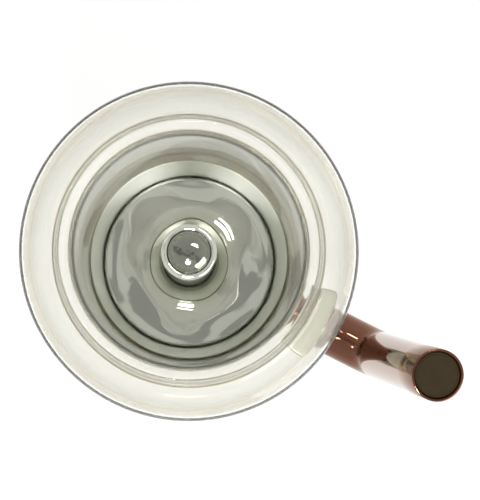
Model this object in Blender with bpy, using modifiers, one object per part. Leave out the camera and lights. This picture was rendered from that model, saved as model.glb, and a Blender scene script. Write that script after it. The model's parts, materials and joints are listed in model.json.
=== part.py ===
"""Milk frother: a glass jug with a tube handle and a magnetic whisk, on a low drive and heater base.

Row frame: +Z up, the origin on the base's underside at the jug's axis,
the handle along +X and the button at -Y.
Heights are above the base's underside, and the feet stand out below it.
Run with: blender --background --python part.py
"""

from math import atan2, cos, hypot, pi, radians, sin, tan

import bmesh
import bpy
from mathutils import Matrix, Vector

MM = 0.001

# Driving dimensions ------------------------------------------------------------------------------
CLEARANCE = 0.3 * MM  # between neighbouring solids that touch on the real object
SEGMENTS = 32  # sides of a large turned piece
SMALL_SEGMENTS = 16  # sides of a small turned piece

# Drive base
BASE_RADIUS = 40.5 * MM
BASE_TOP = 36 * MM
SHELL_WALL = 1.6 * MM
SHELL_EDGE = 2.0 * MM  # rounding of the shell's top edge
PLATE_THICKNESS = 2.2 * MM
FOOT_RADIUS = 5.0 * MM
FOOT_HEIGHT = 3.0 * MM
FOOT_STAND = 2.0 * MM  # how far a foot stands out below the base's underside
FOOT_CIRCLE = 30 * MM
FOOT_COUNT = 4
BOSS_RADIUS = 3.2 * MM
BOSS_TO_WALL = 0.5 * MM
BOSS_COUNT = 3
BASE_SCREW_RADIUS = 1.3 * MM
BASE_SCREW_HEAD = 2.5 * MM
BASE_SCREW_LENGTH = 11 * MM
BASE_SCREW_SINK = 1.4 * MM  # depth of the counterbore for a screw's head

# Hot plate and what is under it
HOT_PLATE_RADIUS = 28 * MM
HOT_PLATE_RISE = 2 * MM  # above the shell's top
HOT_PLATE_WALL = 1.2 * MM
HOT_PLATE_FLANGE = 3 * MM
SEAL_THICKNESS = 0.6 * MM
COIL_WIRE = 1.4 * MM
COIL_INNER = 13.2 * MM
COIL_TURNS = 3
COIL_PITCH = 3.2 * MM
CARD_THICKNESS = 0.5 * MM
SENSOR_RADIUS = 1.3 * MM
CHASSIS_THICKNESS = 2.0 * MM
CHASSIS_TOP = 29.3 * MM

# Motor and magnetic drive
MOTOR_RADIUS = 12.5 * MM
MOTOR_HEIGHT = 20.5 * MM
MOTOR_WALL = 1.2 * MM
SHAFT_RADIUS = 1.5 * MM
SHAFT_FIT = 0.05 * MM  # between the shaft and what is pressed on it
FIELD_RING = 1.9 * MM  # thickness of the field magnet ring
DRIVE_DISC_RADIUS = 11.5 * MM
DRIVE_DISC_HEIGHT = 4.0 * MM
MAGNET_RADIUS = 2.3 * MM
DRIVE_MAGNET_HEIGHT = 2.0 * MM
WHISK_MAGNET_HEIGHT = 1.0 * MM
MAGNET_COUNT = 2
DRIVE_MAGNET_CIRCLE = 7.6 * MM

# Electronics and controls
BOARD_RADIUS = 30.5 * MM
BOARD_THICKNESS = 1.6 * MM
BOARD_POST_HEIGHT = 1.0 * MM
CAPACITOR_RADIUS = 4.5 * MM
CAPACITOR_HEIGHT = 14 * MM
BUTTON_RADIUS = 6.3 * MM
BUTTON_HEIGHT = 18 * MM
BUTTON_PROUD = 0.9 * MM
BUTTON_TRAVEL = 1.5 * MM
BEZEL_WALL = 1.5 * MM
BEZEL_PROUD = 0.6 * MM
BEZEL_LENGTH = 6.5 * MM
BUTTON_LENGTH = 4.5 * MM
BUTTON_EDGE = 1.0 * MM  # rounding of its front edge
STEM_RADIUS = 1.4 * MM
STEM_LENGTH = 3.0 * MM
SWITCH_CLEARANCE = 0.4 * MM  # left between the stem and the switch at full travel
SWITCH_WIDTH = 9 * MM
SWITCH_DEPTH = 4 * MM
SPRING_RADIUS = 3.2 * MM
SPRING_WIRE = 0.4 * MM
SPRING_TURNS = 4
BUTTON_BOARD_WIDTH = 16 * MM
BUTTON_BOARD_ABOVE = 7 * MM  # the button's board above the button's axis
INLET_WIDTH = 20 * MM
INLET_HEIGHT = 11 * MM
INLET_DEPTH = 14 * MM
INLET_WALL = 1.8 * MM
INLET_AXIS_HEIGHT = 14 * MM
INLET_PIN_RADIUS = 1.2 * MM
INLET_PIN_SPACING = 8.6 * MM
INLET_PROUD = 0.4 * MM
INLET_BACK_WALL = 3 * MM
INLET_TAIL = 1.5 * MM  # how far a pin stands out behind the housing, and ends short of its front

# Jug foot
COLLAR_GAP = 0.8 * MM  # the jug's collar above the base shell
COLLAR_WALL = 2.0 * MM
COLLAR_FLOOR = 1.5 * MM
COLLAR_ABOVE_PAN = 2.2 * MM  # the collar's top edge above the pan's rim
PAN_WALL = 1.0 * MM
PAN_DEPTH = 40.6 * MM
PAN_RIM_RADIUS = 34.6 * MM  # inside
PAN_FLOOR_RADIUS = 31.0 * MM  # inside, where the side wall begins
PAN_CORNER = 6 * MM  # inner rounding between the pan's floor and side
PAN_BOSS_RADIUS = 7.5 * MM
PAN_BOSS_HEIGHT = 2.4 * MM
FOOT_SEAL_THICKNESS = 0.8 * MM

# Double-walled glass
GLASS_WALL = 2.2 * MM
INNER_GLASS_WALL = 2.0 * MM
GLASS_RADIUS = 55 * MM
LIP_RADIUS = 42.5 * MM  # outside of the lip
LIP_HEIGHT = 170 * MM  # top of the lip
WIDEST_BELOW_LIP = 13 * MM
INNER_NECK_RADIUS = 37.1 * MM  # inside of the inner wall, below the lip
INNER_NECK_BELOW_LIP = 13 * MM
INNER_TOP_BELOW_LIP = 3.6 * MM

# Whisk
SPINDLE_RADIUS = 2.0 * MM
SPINDLE_HEIGHT = 34 * MM
SPINDLE_FLANGE = 5.0 * MM
BUSH_WALL = 1.3 * MM
BUSH_FLANGE = 5.5 * MM
BELL_RADIUS = 30.8 * MM
BELL_COLUMN_RADIUS = 9.2 * MM
BELL_WALL = 1.2 * MM
BELL_CROWN_EDGE = 1.2 * MM
BELL_FLARE = (  # how far the skirt is from the column's side, and how high above its own rim
    (0.0 * MM, 14.0 * MM),
    (0.6 * MM, 7.0 * MM),
    (2.4 * MM, 2.6 * MM),
    (6.5 * MM, 0.9 * MM),
    (13.0 * MM, 0.2 * MM),
)
BELL_TOP_BELOW_LIP = 22 * MM
BELL_ABOVE_FLOOR = 7.6 * MM  # underside of the bell's rim above the pan's floor
KNOB_LIP = 1.9 * MM  # how far the bell's crown reaches in over the knob's seat
KNOB_RISE = 3.6 * MM
KNOB_STEM = 9 * MM
FROTH_COIL_RADIUS = 20.5 * MM
FROTH_COIL_MINOR = 1.7 * MM
FROTH_WIRE = 0.45 * MM
FROTH_TURNS = 30
WHISK_ARM_WIDTH = 3 * MM
WHISK_ARM_THICKNESS = 2 * MM
WHISK_MAGNET_CIRCLE = 11.2 * MM

# Handle
BRACKET_SECTOR = 29.0  # degrees
BRACKET_OUTER = 56.6 * MM  # distance of its outer face from the jug's axis
BRACKET_THICKNESS = 14 * MM
BRACKET_SCREW_RADIUS = 1.3 * MM
BRACKET_SCREW_HEAD = 2.3 * MM
BRACKET_SCREW_LENGTH = 9 * MM
BRACKET_SCREW_SPREAD = 9.2 * MM  # each side of the middle
TUBE_RADIUS = 8.5 * MM
TUBE_WALL = 1.0 * MM
STUB_HEIGHT = 74 * MM  # of the stub's axis
BEND_CENTRE_X = 75 * MM  # where the stub's axis and the grip's axis meet
BEND_RADIUS = 11 * MM
GRIP_TOP_X = 88.9 * MM
GRIP_TOP_HEIGHT = 170 * MM
END_CAP_RECESS = 0.8 * MM
END_CAP_DEPTH = 6 * MM
GRUB_RADIUS = 1.5 * MM

# Colours: linear RGB, roughness, metallic
FINISHES = {
    "copper": ((0.36, 0.17, 0.11), 0.12, 1.0),
    "bronze": ((0.33, 0.28, 0.20), 0.25, 1.0),
    "polished_steel": ((0.36, 0.37, 0.33), 0.08, 1.0),
    "brushed_steel": ((0.45, 0.46, 0.42), 0.3, 1.0),
    "glass": ((0.90, 0.91, 0.86), 0.02, 0.0),
    "dark_plug": ((0.030, 0.020, 0.010), 0.45, 0.0),
    "black_plastic": ((0.03, 0.03, 0.03), 0.5, 0.0),
    "grey_plastic": ((0.30, 0.31, 0.28), 0.45, 0.0),
    "rubber": ((0.05, 0.05, 0.05), 0.8, 0.0),
    "silicone": ((0.50, 0.52, 0.48), 0.6, 0.0),
    "magnet": ((0.35, 0.35, 0.36), 0.3, 1.0),
    "winding": ((0.45, 0.16, 0.06), 0.35, 1.0),
    "board": ((0.02, 0.16, 0.07), 0.5, 0.0),
    "mica": ((0.55, 0.48, 0.35), 0.6, 0.0),
    "brass": ((0.60, 0.42, 0.15), 0.3, 1.0),
}


# Scene helpers -----------------------------------------------------------------------------------
def start():
    """Empties the scene and makes the collections for the parts and their cutters."""
    for old in list(bpy.data.objects):
        bpy.data.objects.remove(old)
    made = []
    for name in ("milk_frother", "cutters"):
        collection = bpy.data.collections.new(name)
        bpy.context.scene.collection.children.link(collection)
        made.append(collection)
    return made


PARTS, CUTTERS = start()


def finish_material(name):
    """The material of one finish, made once."""
    found = bpy.data.materials.get(name)
    if found:
        return found
    colour, roughness, metallic = FINISHES[name]
    made = bpy.data.materials.new(name)
    made.use_nodes = True
    shader = made.node_tree.nodes["Principled BSDF"]
    shader.inputs["Base Color"].default_value = (*colour, 1.0)
    shader.inputs["Roughness"].default_value = roughness
    shader.inputs["Metallic"].default_value = metallic
    if name == "glass":
        shader.inputs["Transmission Weight"].default_value = 1.0
    return made


def add_part(name, mesh, finish, smooth=True):
    """Links a mesh as one named piece in its finish."""
    made = bpy.data.objects.new(name, mesh)
    PARTS.objects.link(made)
    mesh.materials.append(finish_material(finish))
    if smooth:
        mesh.shade_smooth()
        mesh.set_sharp_from_angle(angle=radians(35))
    return made


def take_new_object(collection):
    """Moves the object that an operator has just added to a collection."""
    made = bpy.context.active_object
    for held in list(made.users_collection):
        held.objects.unlink(made)
    collection.objects.link(made)
    return made


def mesh_from_bmesh(name, built):
    """A mesh made of a bmesh, which is freed."""
    mesh = bpy.data.meshes.new(name)
    built.to_mesh(mesh)
    built.free()
    return mesh


# Shape helpers -----------------------------------------------------------------------------------
def arc(centre_r, centre_z, radius, start_deg, end_deg, steps=5):
    """Points of a circular arc in the profile plane, both ends included."""
    sweep = radians(end_deg - start_deg)
    first = radians(start_deg)
    angles = [first + sweep * i / steps for i in range(steps + 1)]
    return [(centre_r + radius * cos(a), centre_z + radius * sin(a)) for a in angles]


def turned(name, profile, finish, segments=SEGMENTS):
    """A piece turned about Z from (radius, height) points that run down its outer side."""
    on_axis = profile[0][0] == 0 and profile[-1][0] == 0
    count = len(profile)
    edges = [(i, i + 1) for i in range(count - 1)]
    if not on_axis:
        edges.append((count - 1, 0))
    mesh = bpy.data.meshes.new(name)
    mesh.from_pydata([(r, 0, z) for r, z in profile], edges, [])
    made = bpy.data.objects.new(name, mesh)
    PARTS.objects.link(made)
    mesh.materials.append(finish_material(finish))
    screw = made.modifiers.new("Turn", "SCREW")
    screw.steps = segments
    screw.render_steps = segments
    screw.use_merge_vertices = True
    screw.merge_threshold = 0.00001
    screw.use_smooth_shade = True
    return made


def ring(name, inner, outer, low, high, finish, segments=SEGMENTS):
    """A plain turned ring."""
    return turned(name, [(inner, high), (outer, high), (outer, low), (inner, low)], finish, segments)


def frozen(part):
    """The same piece as a plain mesh, with its modifiers applied."""
    graph = bpy.context.evaluated_depsgraph_get()
    mesh = bpy.data.meshes.new_from_object(part.evaluated_get(graph))
    welded = bmesh.new()
    welded.from_mesh(mesh)
    bmesh.ops.remove_doubles(welded, verts=welded.verts, dist=0.000001)
    welded.to_mesh(mesh)
    welded.free()
    name = part.name
    made = bpy.data.objects.new(name, mesh)
    made.matrix_world = part.matrix_world
    bpy.data.objects.remove(part)
    made.name = name
    PARTS.objects.link(made)
    return made


def cylinder_cutter(radius, length, centre, axis="Z", segments=SMALL_SEGMENTS):
    """A cylinder used to cut or to join, along a row axis."""
    turn = {"X": (0, pi / 2, 0), "Y": (pi / 2, 0, 0), "Z": (0, 0, 0)}[axis]
    bpy.ops.mesh.primitive_cylinder_add(
        vertices=segments, radius=radius, depth=length, location=centre, rotation=turn
    )
    return hidden(take_new_object(CUTTERS))


def box_cutter(size, centre):
    """A box used to cut."""
    bpy.ops.mesh.primitive_cube_add(size=1, location=centre)
    made = take_new_object(CUTTERS)
    made.scale = size
    return hidden(made)


def hidden(helper):
    """Keeps a cutter out of the render."""
    helper.hide_render = True
    helper.display_type = "WIRE"
    return helper


def boolean(part, helper, operation="DIFFERENCE"):
    """Adds a Boolean modifier that cuts or joins with a helper."""
    modifier = part.modifiers.new(operation.title(), "BOOLEAN")
    modifier.operation = operation
    modifier.object = helper
    modifier.solver = "EXACT"


def cylinder(name, finish, radius, low_point, length, axis="Z", segments=SMALL_SEGMENTS):
    """A plain cylinder that runs from its low point along a row axis."""
    built = bmesh.new()
    turns = {"X": Matrix.Rotation(pi / 2, 4, "Y"), "Y": Matrix.Rotation(-pi / 2, 4, "X"), "Z": Matrix()}
    turn = turns[axis]
    along = turn @ Vector((0, 0, 1))
    place = Matrix.Translation(Vector(low_point) + along * length / 2) @ turn
    bmesh.ops.create_cone(
        built, cap_ends=True, segments=segments, radius1=radius, radius2=radius, depth=length, matrix=place
    )
    return add_part(name, mesh_from_bmesh(name, built), finish)


def block(name, size, centre, finish, edge=0.4 * MM):
    """A box with rounded edges."""
    built = bmesh.new()
    bmesh.ops.create_cube(built, size=1, matrix=Matrix.Translation(centre) @ Matrix.Diagonal((*size, 1)))
    made = add_part(name, mesh_from_bmesh(name, built), finish, smooth=False)
    bevel = made.modifiers.new("Edges", "BEVEL")
    bevel.width = edge
    bevel.segments = 2
    return made


def wire(name, points, radius, finish, closed=False, resolution=2):
    """A round wire along points, as a poly curve."""
    curve = bpy.data.curves.new(name, "CURVE")
    curve.dimensions = "3D"
    curve.bevel_depth = radius
    curve.bevel_resolution = resolution
    curve.use_fill_caps = not closed
    spline = curve.splines.new("POLY")
    spline.points.add(len(points) - 1)
    for place, point in zip(spline.points, points):
        place.co = (*point, 1)
    spline.use_cyclic_u = closed
    curve.materials.append(finish_material(finish))
    made = bpy.data.objects.new(name, curve)
    PARTS.objects.link(made)
    return made


def around(count, radius, first_deg=0.0):
    """Evenly spaced points on a circle about the axis."""
    angles = [radians(first_deg) + 2 * pi * i / count for i in range(count)]
    return [(radius * cos(a), radius * sin(a)) for a in angles]


def smooth_through(points, steps):
    """A Catmull-Rom curve through the points, with that many steps between each two."""
    ends = [points[0], *points, points[-1]]
    made = []
    for a, b, c, d in zip(ends, ends[1:], ends[2:], ends[3:]):
        for i in range(steps):
            t = i / steps
            made.append(
                tuple(
                    (2 * q + (r - p) * t + (2 * p - 5 * q + 4 * r - s) * t**2) / 2
                    + (3 * q - p - 3 * r + s) * t**3 / 2
                    for p, q, r, s in zip(a, b, c, d)
                )
            )
    made.append(points[-1])
    return made


def offset_inward(points, distance):
    """The profile moved towards the axis side, square to its own run. It runs down its outer side."""
    made = []
    for i, (r, z) in enumerate(points):
        before = points[max(i - 1, 0)]
        after = points[min(i + 1, len(points) - 1)]
        run_r, run_z = after[0] - before[0], after[1] - before[1]
        size = hypot(run_r, run_z)
        made.append((r + distance * run_z / size, z - distance * run_r / size))
    return made


# Heights and radii that several pieces share -----------------------------------------------------
SHELL_INNER = BASE_RADIUS - SHELL_WALL
BOSS_CIRCLE = SHELL_INNER - BOSS_TO_WALL - BOSS_RADIUS
PLATE_TOP = PLATE_THICKNESS
SHELL_CEILING = BASE_TOP - SHELL_WALL
HOT_PLATE_TOP = BASE_TOP + HOT_PLATE_RISE
HOT_PLATE_UNDERSIDE = HOT_PLATE_TOP - HOT_PLATE_WALL
FLANGE_TOP = SHELL_CEILING - SEAL_THICKNESS - 2 * CLEARANCE
FLANGE_BOTTOM = FLANGE_TOP - HOT_PLATE_WALL
CARD_BOTTOM = FLANGE_BOTTOM - CLEARANCE - CARD_THICKNESS
CARD_TOP = CARD_BOTTOM + CARD_THICKNESS
CARD_RADIUS = HOT_PLATE_RADIUS - HOT_PLATE_WALL - CLEARANCE
CHASSIS_BOTTOM = CHASSIS_TOP - CHASSIS_THICKNESS
MOTOR_TOP = CHASSIS_BOTTOM - CLEARANCE
MOTOR_BOTTOM = MOTOR_TOP - MOTOR_HEIGHT
DRIVE_DISC_BOTTOM = CHASSIS_TOP + 3 * CLEARANCE
DRIVE_DISC_TOP = DRIVE_DISC_BOTTOM + DRIVE_DISC_HEIGHT
BOARD_BOTTOM = PLATE_TOP + BOARD_POST_HEIGHT + 2 * CLEARANCE
BOARD_TOP = BOARD_BOTTOM + BOARD_THICKNESS

BUTTON_FACE = BASE_RADIUS + BUTTON_PROUD  # distances in front of the jug's axis
BUTTON_BACK = BUTTON_FACE - BUTTON_LENGTH
STEM_END = BUTTON_BACK - STEM_LENGTH
SWITCH_FRONT = STEM_END - BUTTON_TRAVEL - SWITCH_CLEARANCE

COLLAR_BOTTOM = BASE_TOP + COLLAR_GAP
COLLAR_INNER = BASE_RADIUS - COLLAR_WALL
PAN_BOTTOM = HOT_PLATE_TOP + CLEARANCE
PAN_FLOOR = PAN_BOTTOM + PAN_WALL
PAN_RIM = PAN_FLOOR + PAN_DEPTH
PAN_FLANGE_RADIUS = COLLAR_INNER - CLEARANCE
PAN_BOSS_TOP = PAN_FLOOR + PAN_BOSS_HEIGHT
COLLAR_TOP = PAN_RIM + COLLAR_ABOVE_PAN
INNER_GLASS_BOTTOM = PAN_RIM + FOOT_SEAL_THICKNESS + 2 * CLEARANCE
OUTER_GLASS_BOTTOM = COLLAR_TOP + FOOT_SEAL_THICKNESS + 2 * CLEARANCE

SPINDLE_BOTTOM = PAN_BOSS_TOP + CLEARANCE
SPINDLE_FLANGE_TOP = SPINDLE_BOTTOM + 1.0 * MM
SPINDLE_TOP = SPINDLE_BOTTOM + SPINDLE_HEIGHT
BUSH_BOTTOM = SPINDLE_FLANGE_TOP + CLEARANCE
BUSH_FLANGE_TOP = BUSH_BOTTOM + 1.2 * MM
BUSH_INNER = SPINDLE_RADIUS + CLEARANCE
BUSH_OUTER = BUSH_INNER + BUSH_WALL
BUSH_TOP = SPINDLE_TOP + CLEARANCE + BUSH_WALL
BELL_TOP = LIP_HEIGHT - BELL_TOP_BELOW_LIP
BELL_RIM_BOTTOM = PAN_FLOOR + BELL_ABOVE_FLOOR
BELL_RIM_TOP = BELL_RIM_BOTTOM + BELL_WALL
KNOB_SEAT_RADIUS = BELL_COLUMN_RADIUS - KNOB_LIP
ARM_TOP = BELL_RIM_BOTTOM - CLEARANCE
ARM_BOTTOM = ARM_TOP - WHISK_ARM_THICKNESS
FROTH_COIL_HEIGHT = ARM_TOP - FROTH_COIL_MINOR - FROTH_WIRE - CLEARANCE

BRACKET_SCREW_HEIGHT = STUB_HEIGHT
BRACKET_INNER = BASE_RADIUS + CLEARANCE
SPIGOT_RADIUS = TUBE_RADIUS - TUBE_WALL - CLEARANCE
GRIP_TOP = Vector((GRIP_TOP_X, 0, GRIP_TOP_HEIGHT))
GRIP_DIRECTION = (GRIP_TOP - Vector((BEND_CENTRE_X, 0, STUB_HEIGHT))).normalized()
BEND_ANGLE = pi / 2 - atan2(GRIP_DIRECTION.x, GRIP_DIRECTION.z)
BEND_START_X = BEND_CENTRE_X - BEND_RADIUS * tan(BEND_ANGLE / 2)
SPIGOT_END = BEND_START_X - 3 * CLEARANCE
GRUB_X = (BRACKET_OUTER + SPIGOT_END) / 2


# Drive base --------------------------------------------------------------------------------------
def make_base_shell():
    """The copper-coloured cover, with screw bosses inside and holes for the button and the inlet."""
    opening = HOT_PLATE_RADIUS + 2 * CLEARANCE
    profile = [(opening, BASE_TOP)]
    profile += arc(BASE_RADIUS - SHELL_EDGE, BASE_TOP - SHELL_EDGE, SHELL_EDGE, 90, 0)
    profile += [(BASE_RADIUS, 0), (SHELL_INNER, 0)]
    profile += [(SHELL_INNER, SHELL_CEILING), (opening, SHELL_CEILING)]
    shell = frozen(turned("base_shell", profile, "bronze"))
    boss_bottom = PLATE_TOP + CLEARANCE
    boss_length = SHELL_CEILING + SHELL_WALL / 2 - boss_bottom
    for x, y in around(BOSS_COUNT, BOSS_CIRCLE, 60):
        middle = boss_bottom + boss_length / 2
        boolean(shell, cylinder_cutter(BOSS_RADIUS, boss_length, (x, y, middle)), "UNION")
    bore = BASE_SCREW_RADIUS + CLEARANCE
    for x, y in around(BOSS_COUNT, BOSS_CIRCLE, 60):
        boolean(shell, cylinder_cutter(bore, 2 * BASE_SCREW_LENGTH, (x, y, boss_bottom)))
    button_hole = BUTTON_RADIUS + BEZEL_WALL + 2 * CLEARANCE
    through = 12 * MM  # long enough to pass the curved wall
    button_place = (0, -BASE_RADIUS, BUTTON_HEIGHT)
    boolean(shell, cylinder_cutter(button_hole, through, button_place, "Y", SEGMENTS // 2))
    inlet_hole = (INLET_WIDTH + 2 * CLEARANCE, through, INLET_HEIGHT + 2 * CLEARANCE)
    boolean(shell, box_cutter(inlet_hole, (0, BASE_RADIUS, INLET_AXIS_HEIGHT)))
    clear_hot_plate(shell)


def clear_hot_plate(shell):
    """Cuts room for the hot plate and its flange, where a wide plate reaches the bosses."""
    flange = HOT_PLATE_RADIUS + HOT_PLATE_FLANGE + CLEARANCE
    low = FLANGE_BOTTOM - CLEARANCE
    high = SHELL_CEILING - CLEARANCE / 2
    boolean(shell, cylinder_cutter(flange, high - low, (0, 0, (low + high) / 2), segments=SEGMENTS))
    plate = HOT_PLATE_RADIUS + CLEARANCE
    low = CARD_BOTTOM - CLEARANCE
    high = HOT_PLATE_TOP
    boolean(shell, cylinder_cutter(plate, high - low, (0, 0, (low + high) / 2), segments=SEGMENTS))


def make_base_plate():
    """The bottom plate, with recesses for the feet and counterbored screw holes."""
    radius = SHELL_INNER - CLEARANCE
    profile = [(0, PLATE_TOP), (radius, PLATE_TOP), (radius, 0), (0, 0)]
    plate = frozen(turned("base_plate", profile, "black_plastic"))
    recess = FOOT_HEIGHT - FOOT_STAND + CLEARANCE
    for x, y in around(FOOT_COUNT, FOOT_CIRCLE, 45):
        boolean(plate, cylinder_cutter(FOOT_RADIUS + CLEARANCE, 2 * recess, (x, y, 0)))
    bore = BASE_SCREW_RADIUS + CLEARANCE
    for x, y in around(BOSS_COUNT, BOSS_CIRCLE, 60):
        boolean(plate, cylinder_cutter(bore, 4 * PLATE_THICKNESS, (x, y, PLATE_TOP)))
        boolean(plate, cylinder_cutter(BASE_SCREW_HEAD + CLEARANCE, 2 * BASE_SCREW_SINK, (x, y, 0)))


def make_base_feet():
    """The rubber feet in the base plate's recesses."""
    for i, (x, y) in enumerate(around(FOOT_COUNT, FOOT_CIRCLE, 45)):
        cylinder(f"base_foot_{i + 1}", "rubber", FOOT_RADIUS, (x, y, -FOOT_STAND), FOOT_HEIGHT)


def screw(name, finish, shank, head, head_length, length, place):
    """A screw with its head's underside at the place's origin and its tip towards the place's +Z."""
    profile = [(0, length), (shank, length), (shank, 0), (head, 0), (head, -head_length), (0, -head_length)]
    made = frozen(turned(name, profile, finish, 12))
    made.data.transform(place)


def make_base_screws():
    """The screws that hold the bottom plate to the shell's bosses."""
    head_length = 1.0 * MM
    underside = BASE_SCREW_SINK - CLEARANCE
    for i, (x, y) in enumerate(around(BOSS_COUNT, BOSS_CIRCLE, 60)):
        place = Matrix.Translation((x, y, underside))
        name = f"base_screw_{i + 1}"
        sizes = (BASE_SCREW_RADIUS, BASE_SCREW_HEAD, head_length, BASE_SCREW_LENGTH)
        screw(name, "brushed_steel", *sizes, place)


def make_hot_plate():
    """The heated steel plate: a shallow inverted cup with a flange that the seal sits on."""
    flange = HOT_PLATE_RADIUS + HOT_PLATE_FLANGE
    inside = HOT_PLATE_RADIUS - HOT_PLATE_WALL
    edge = 1.0 * MM
    profile = [(0, HOT_PLATE_TOP)]
    profile += arc(HOT_PLATE_RADIUS - edge, HOT_PLATE_TOP - edge, edge, 90, 0, 3)
    profile += [(HOT_PLATE_RADIUS, FLANGE_TOP), (flange, FLANGE_TOP), (flange, FLANGE_BOTTOM)]
    profile += [(inside, FLANGE_BOTTOM), (inside, HOT_PLATE_UNDERSIDE), (0, HOT_PLATE_UNDERSIDE)]
    turned("hot_plate", profile, "brushed_steel")
    seal_bottom = FLANGE_TOP + CLEARANCE
    inner = HOT_PLATE_RADIUS + 2 * CLEARANCE
    ring("hot_plate_seal", inner, flange, seal_bottom, seal_bottom + SEAL_THICKNESS, "silicone")


def make_heater():
    """The flat heating coil on its mica card, and the sensor that reads the plate's temperature."""
    ring("mica_card", COIL_INNER - 1.0 * MM, CARD_RADIUS, CARD_BOTTOM, CARD_TOP, "mica")
    height = CARD_TOP + CLEARANCE + COIL_WIRE
    steps = 20 * COIL_TURNS
    points = []
    for i in range(steps + 1):
        angle = 2 * pi * COIL_TURNS * i / steps
        radius = COIL_INNER + COIL_WIRE + COIL_PITCH * angle / (2 * pi)
        points.append((radius * cos(angle), radius * sin(angle), height))
    wire("heater_coil", points, COIL_WIRE, "winding", resolution=1)
    sensor_angle = radians(30)
    outermost = COIL_INNER + 2 * COIL_WIRE + COIL_PITCH * (COIL_TURNS - 1 + sensor_angle / (2 * pi))
    at = outermost + 2 * CLEARANCE + SENSOR_RADIUS
    low = CARD_TOP + CLEARANCE
    place = (at * cos(sensor_angle), at * sin(sensor_angle), low)
    cylinder("temperature_sensor", "brass", SENSOR_RADIUS, place, HOT_PLATE_UNDERSIDE - CLEARANCE - low)


def make_chassis():
    """The inner frame that carries the motor, the coil's card and the hot plate."""
    outer = SHELL_INNER - CLEARANCE
    wall = CARD_RADIUS - 2.5 * MM
    bore = SHAFT_RADIUS + 1.5 * MM
    ledge = CARD_BOTTOM - CLEARANCE
    profile = [(bore, CHASSIS_TOP), (wall, CHASSIS_TOP), (wall, ledge), (wall + 2 * MM, ledge)]
    profile += [(wall + 2 * MM, CHASSIS_TOP), (outer, CHASSIS_TOP)]
    profile += [(outer, CHASSIS_BOTTOM), (bore, CHASSIS_BOTTOM)]
    chassis = frozen(turned("chassis", profile, "grey_plastic"))
    for x, y in around(BOSS_COUNT, BOSS_CIRCLE, 60):
        boolean(chassis, cylinder_cutter(BOSS_RADIUS + CLEARANCE, 8 * MM, (x, y, CHASSIS_TOP)))
    bezel_room = BUTTON_RADIUS + BEZEL_WALL + 2 * CLEARANCE
    length = 2 * (BEZEL_LENGTH + CLEARANCE)
    boolean(chassis, cylinder_cutter(bezel_room, length, (0, -BASE_RADIUS, BUTTON_HEIGHT), "Y"))


def make_motor():
    """A small direct-current motor: its can, end cap, field ring, armature and shaft."""
    inside = MOTOR_RADIUS - MOTOR_WALL
    neck = SHAFT_RADIUS + 1.2 * MM
    profile = [(neck, MOTOR_TOP), (MOTOR_RADIUS - 1 * MM, MOTOR_TOP), (MOTOR_RADIUS, MOTOR_TOP - 1 * MM)]
    profile += [(MOTOR_RADIUS, MOTOR_BOTTOM), (inside, MOTOR_BOTTOM)]
    profile += [(inside, MOTOR_TOP - MOTOR_WALL), (neck, MOTOR_TOP - MOTOR_WALL)]
    turned("motor_can", profile, "brushed_steel", 32)
    cap_radius = inside - CLEARANCE
    cap_top = MOTOR_BOTTOM + 2.4 * MM
    pocket = SHAFT_RADIUS + CLEARANCE
    pocket_floor = MOTOR_BOTTOM + 1.0 * MM
    profile = [(pocket, cap_top), (cap_radius, cap_top), (cap_radius, MOTOR_BOTTOM), (0, MOTOR_BOTTOM)]
    turned("motor_end_cap", [(0, pocket_floor), (pocket, pocket_floor), *profile], "black_plastic", 32)
    ring_low = cap_top + 1.0 * MM
    ring_high = MOTOR_TOP - MOTOR_WALL - 1.0 * MM
    ring("field_magnet", cap_radius - FIELD_RING, cap_radius, ring_low, ring_high, "magnet", 32)
    armature = cap_radius - FIELD_RING - 0.6 * MM
    low = ring_low + 0.5 * MM
    high = ring_high - 0.5 * MM
    ring("motor_armature", SHAFT_RADIUS + SHAFT_FIT, armature, low, high, "winding", 32)
    shaft_low = pocket_floor + CLEARANCE
    shaft_high = DRIVE_DISC_TOP - 1.2 * MM
    cylinder("motor_shaft", "polished_steel", SHAFT_RADIUS, (0, 0, shaft_low), shaft_high - shaft_low)


def make_drive_disc():
    """The disc on the motor's shaft, with pockets for the magnets that turn the whisk through the pan."""
    bore = SHAFT_RADIUS + SHAFT_FIT
    ceiling = DRIVE_DISC_TOP - 1.1 * MM
    profile = [(0, DRIVE_DISC_TOP), (DRIVE_DISC_RADIUS, DRIVE_DISC_TOP)]
    profile += [(DRIVE_DISC_RADIUS, DRIVE_DISC_BOTTOM), (bore, DRIVE_DISC_BOTTOM)]
    profile += [(bore, ceiling), (0, ceiling)]
    disc = frozen(turned("drive_disc", profile, "grey_plastic", 32))
    depth = DRIVE_MAGNET_HEIGHT + CLEARANCE
    for i, (x, y) in enumerate(around(MAGNET_COUNT, DRIVE_MAGNET_CIRCLE)):
        boolean(disc, cylinder_cutter(MAGNET_RADIUS + CLEARANCE, 2 * depth, (x, y, DRIVE_DISC_TOP)))
        low = (x, y, DRIVE_DISC_TOP - DRIVE_MAGNET_HEIGHT)
        cylinder(f"drive_magnet_{i + 1}", "magnet", MAGNET_RADIUS, low, DRIVE_MAGNET_HEIGHT)


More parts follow.
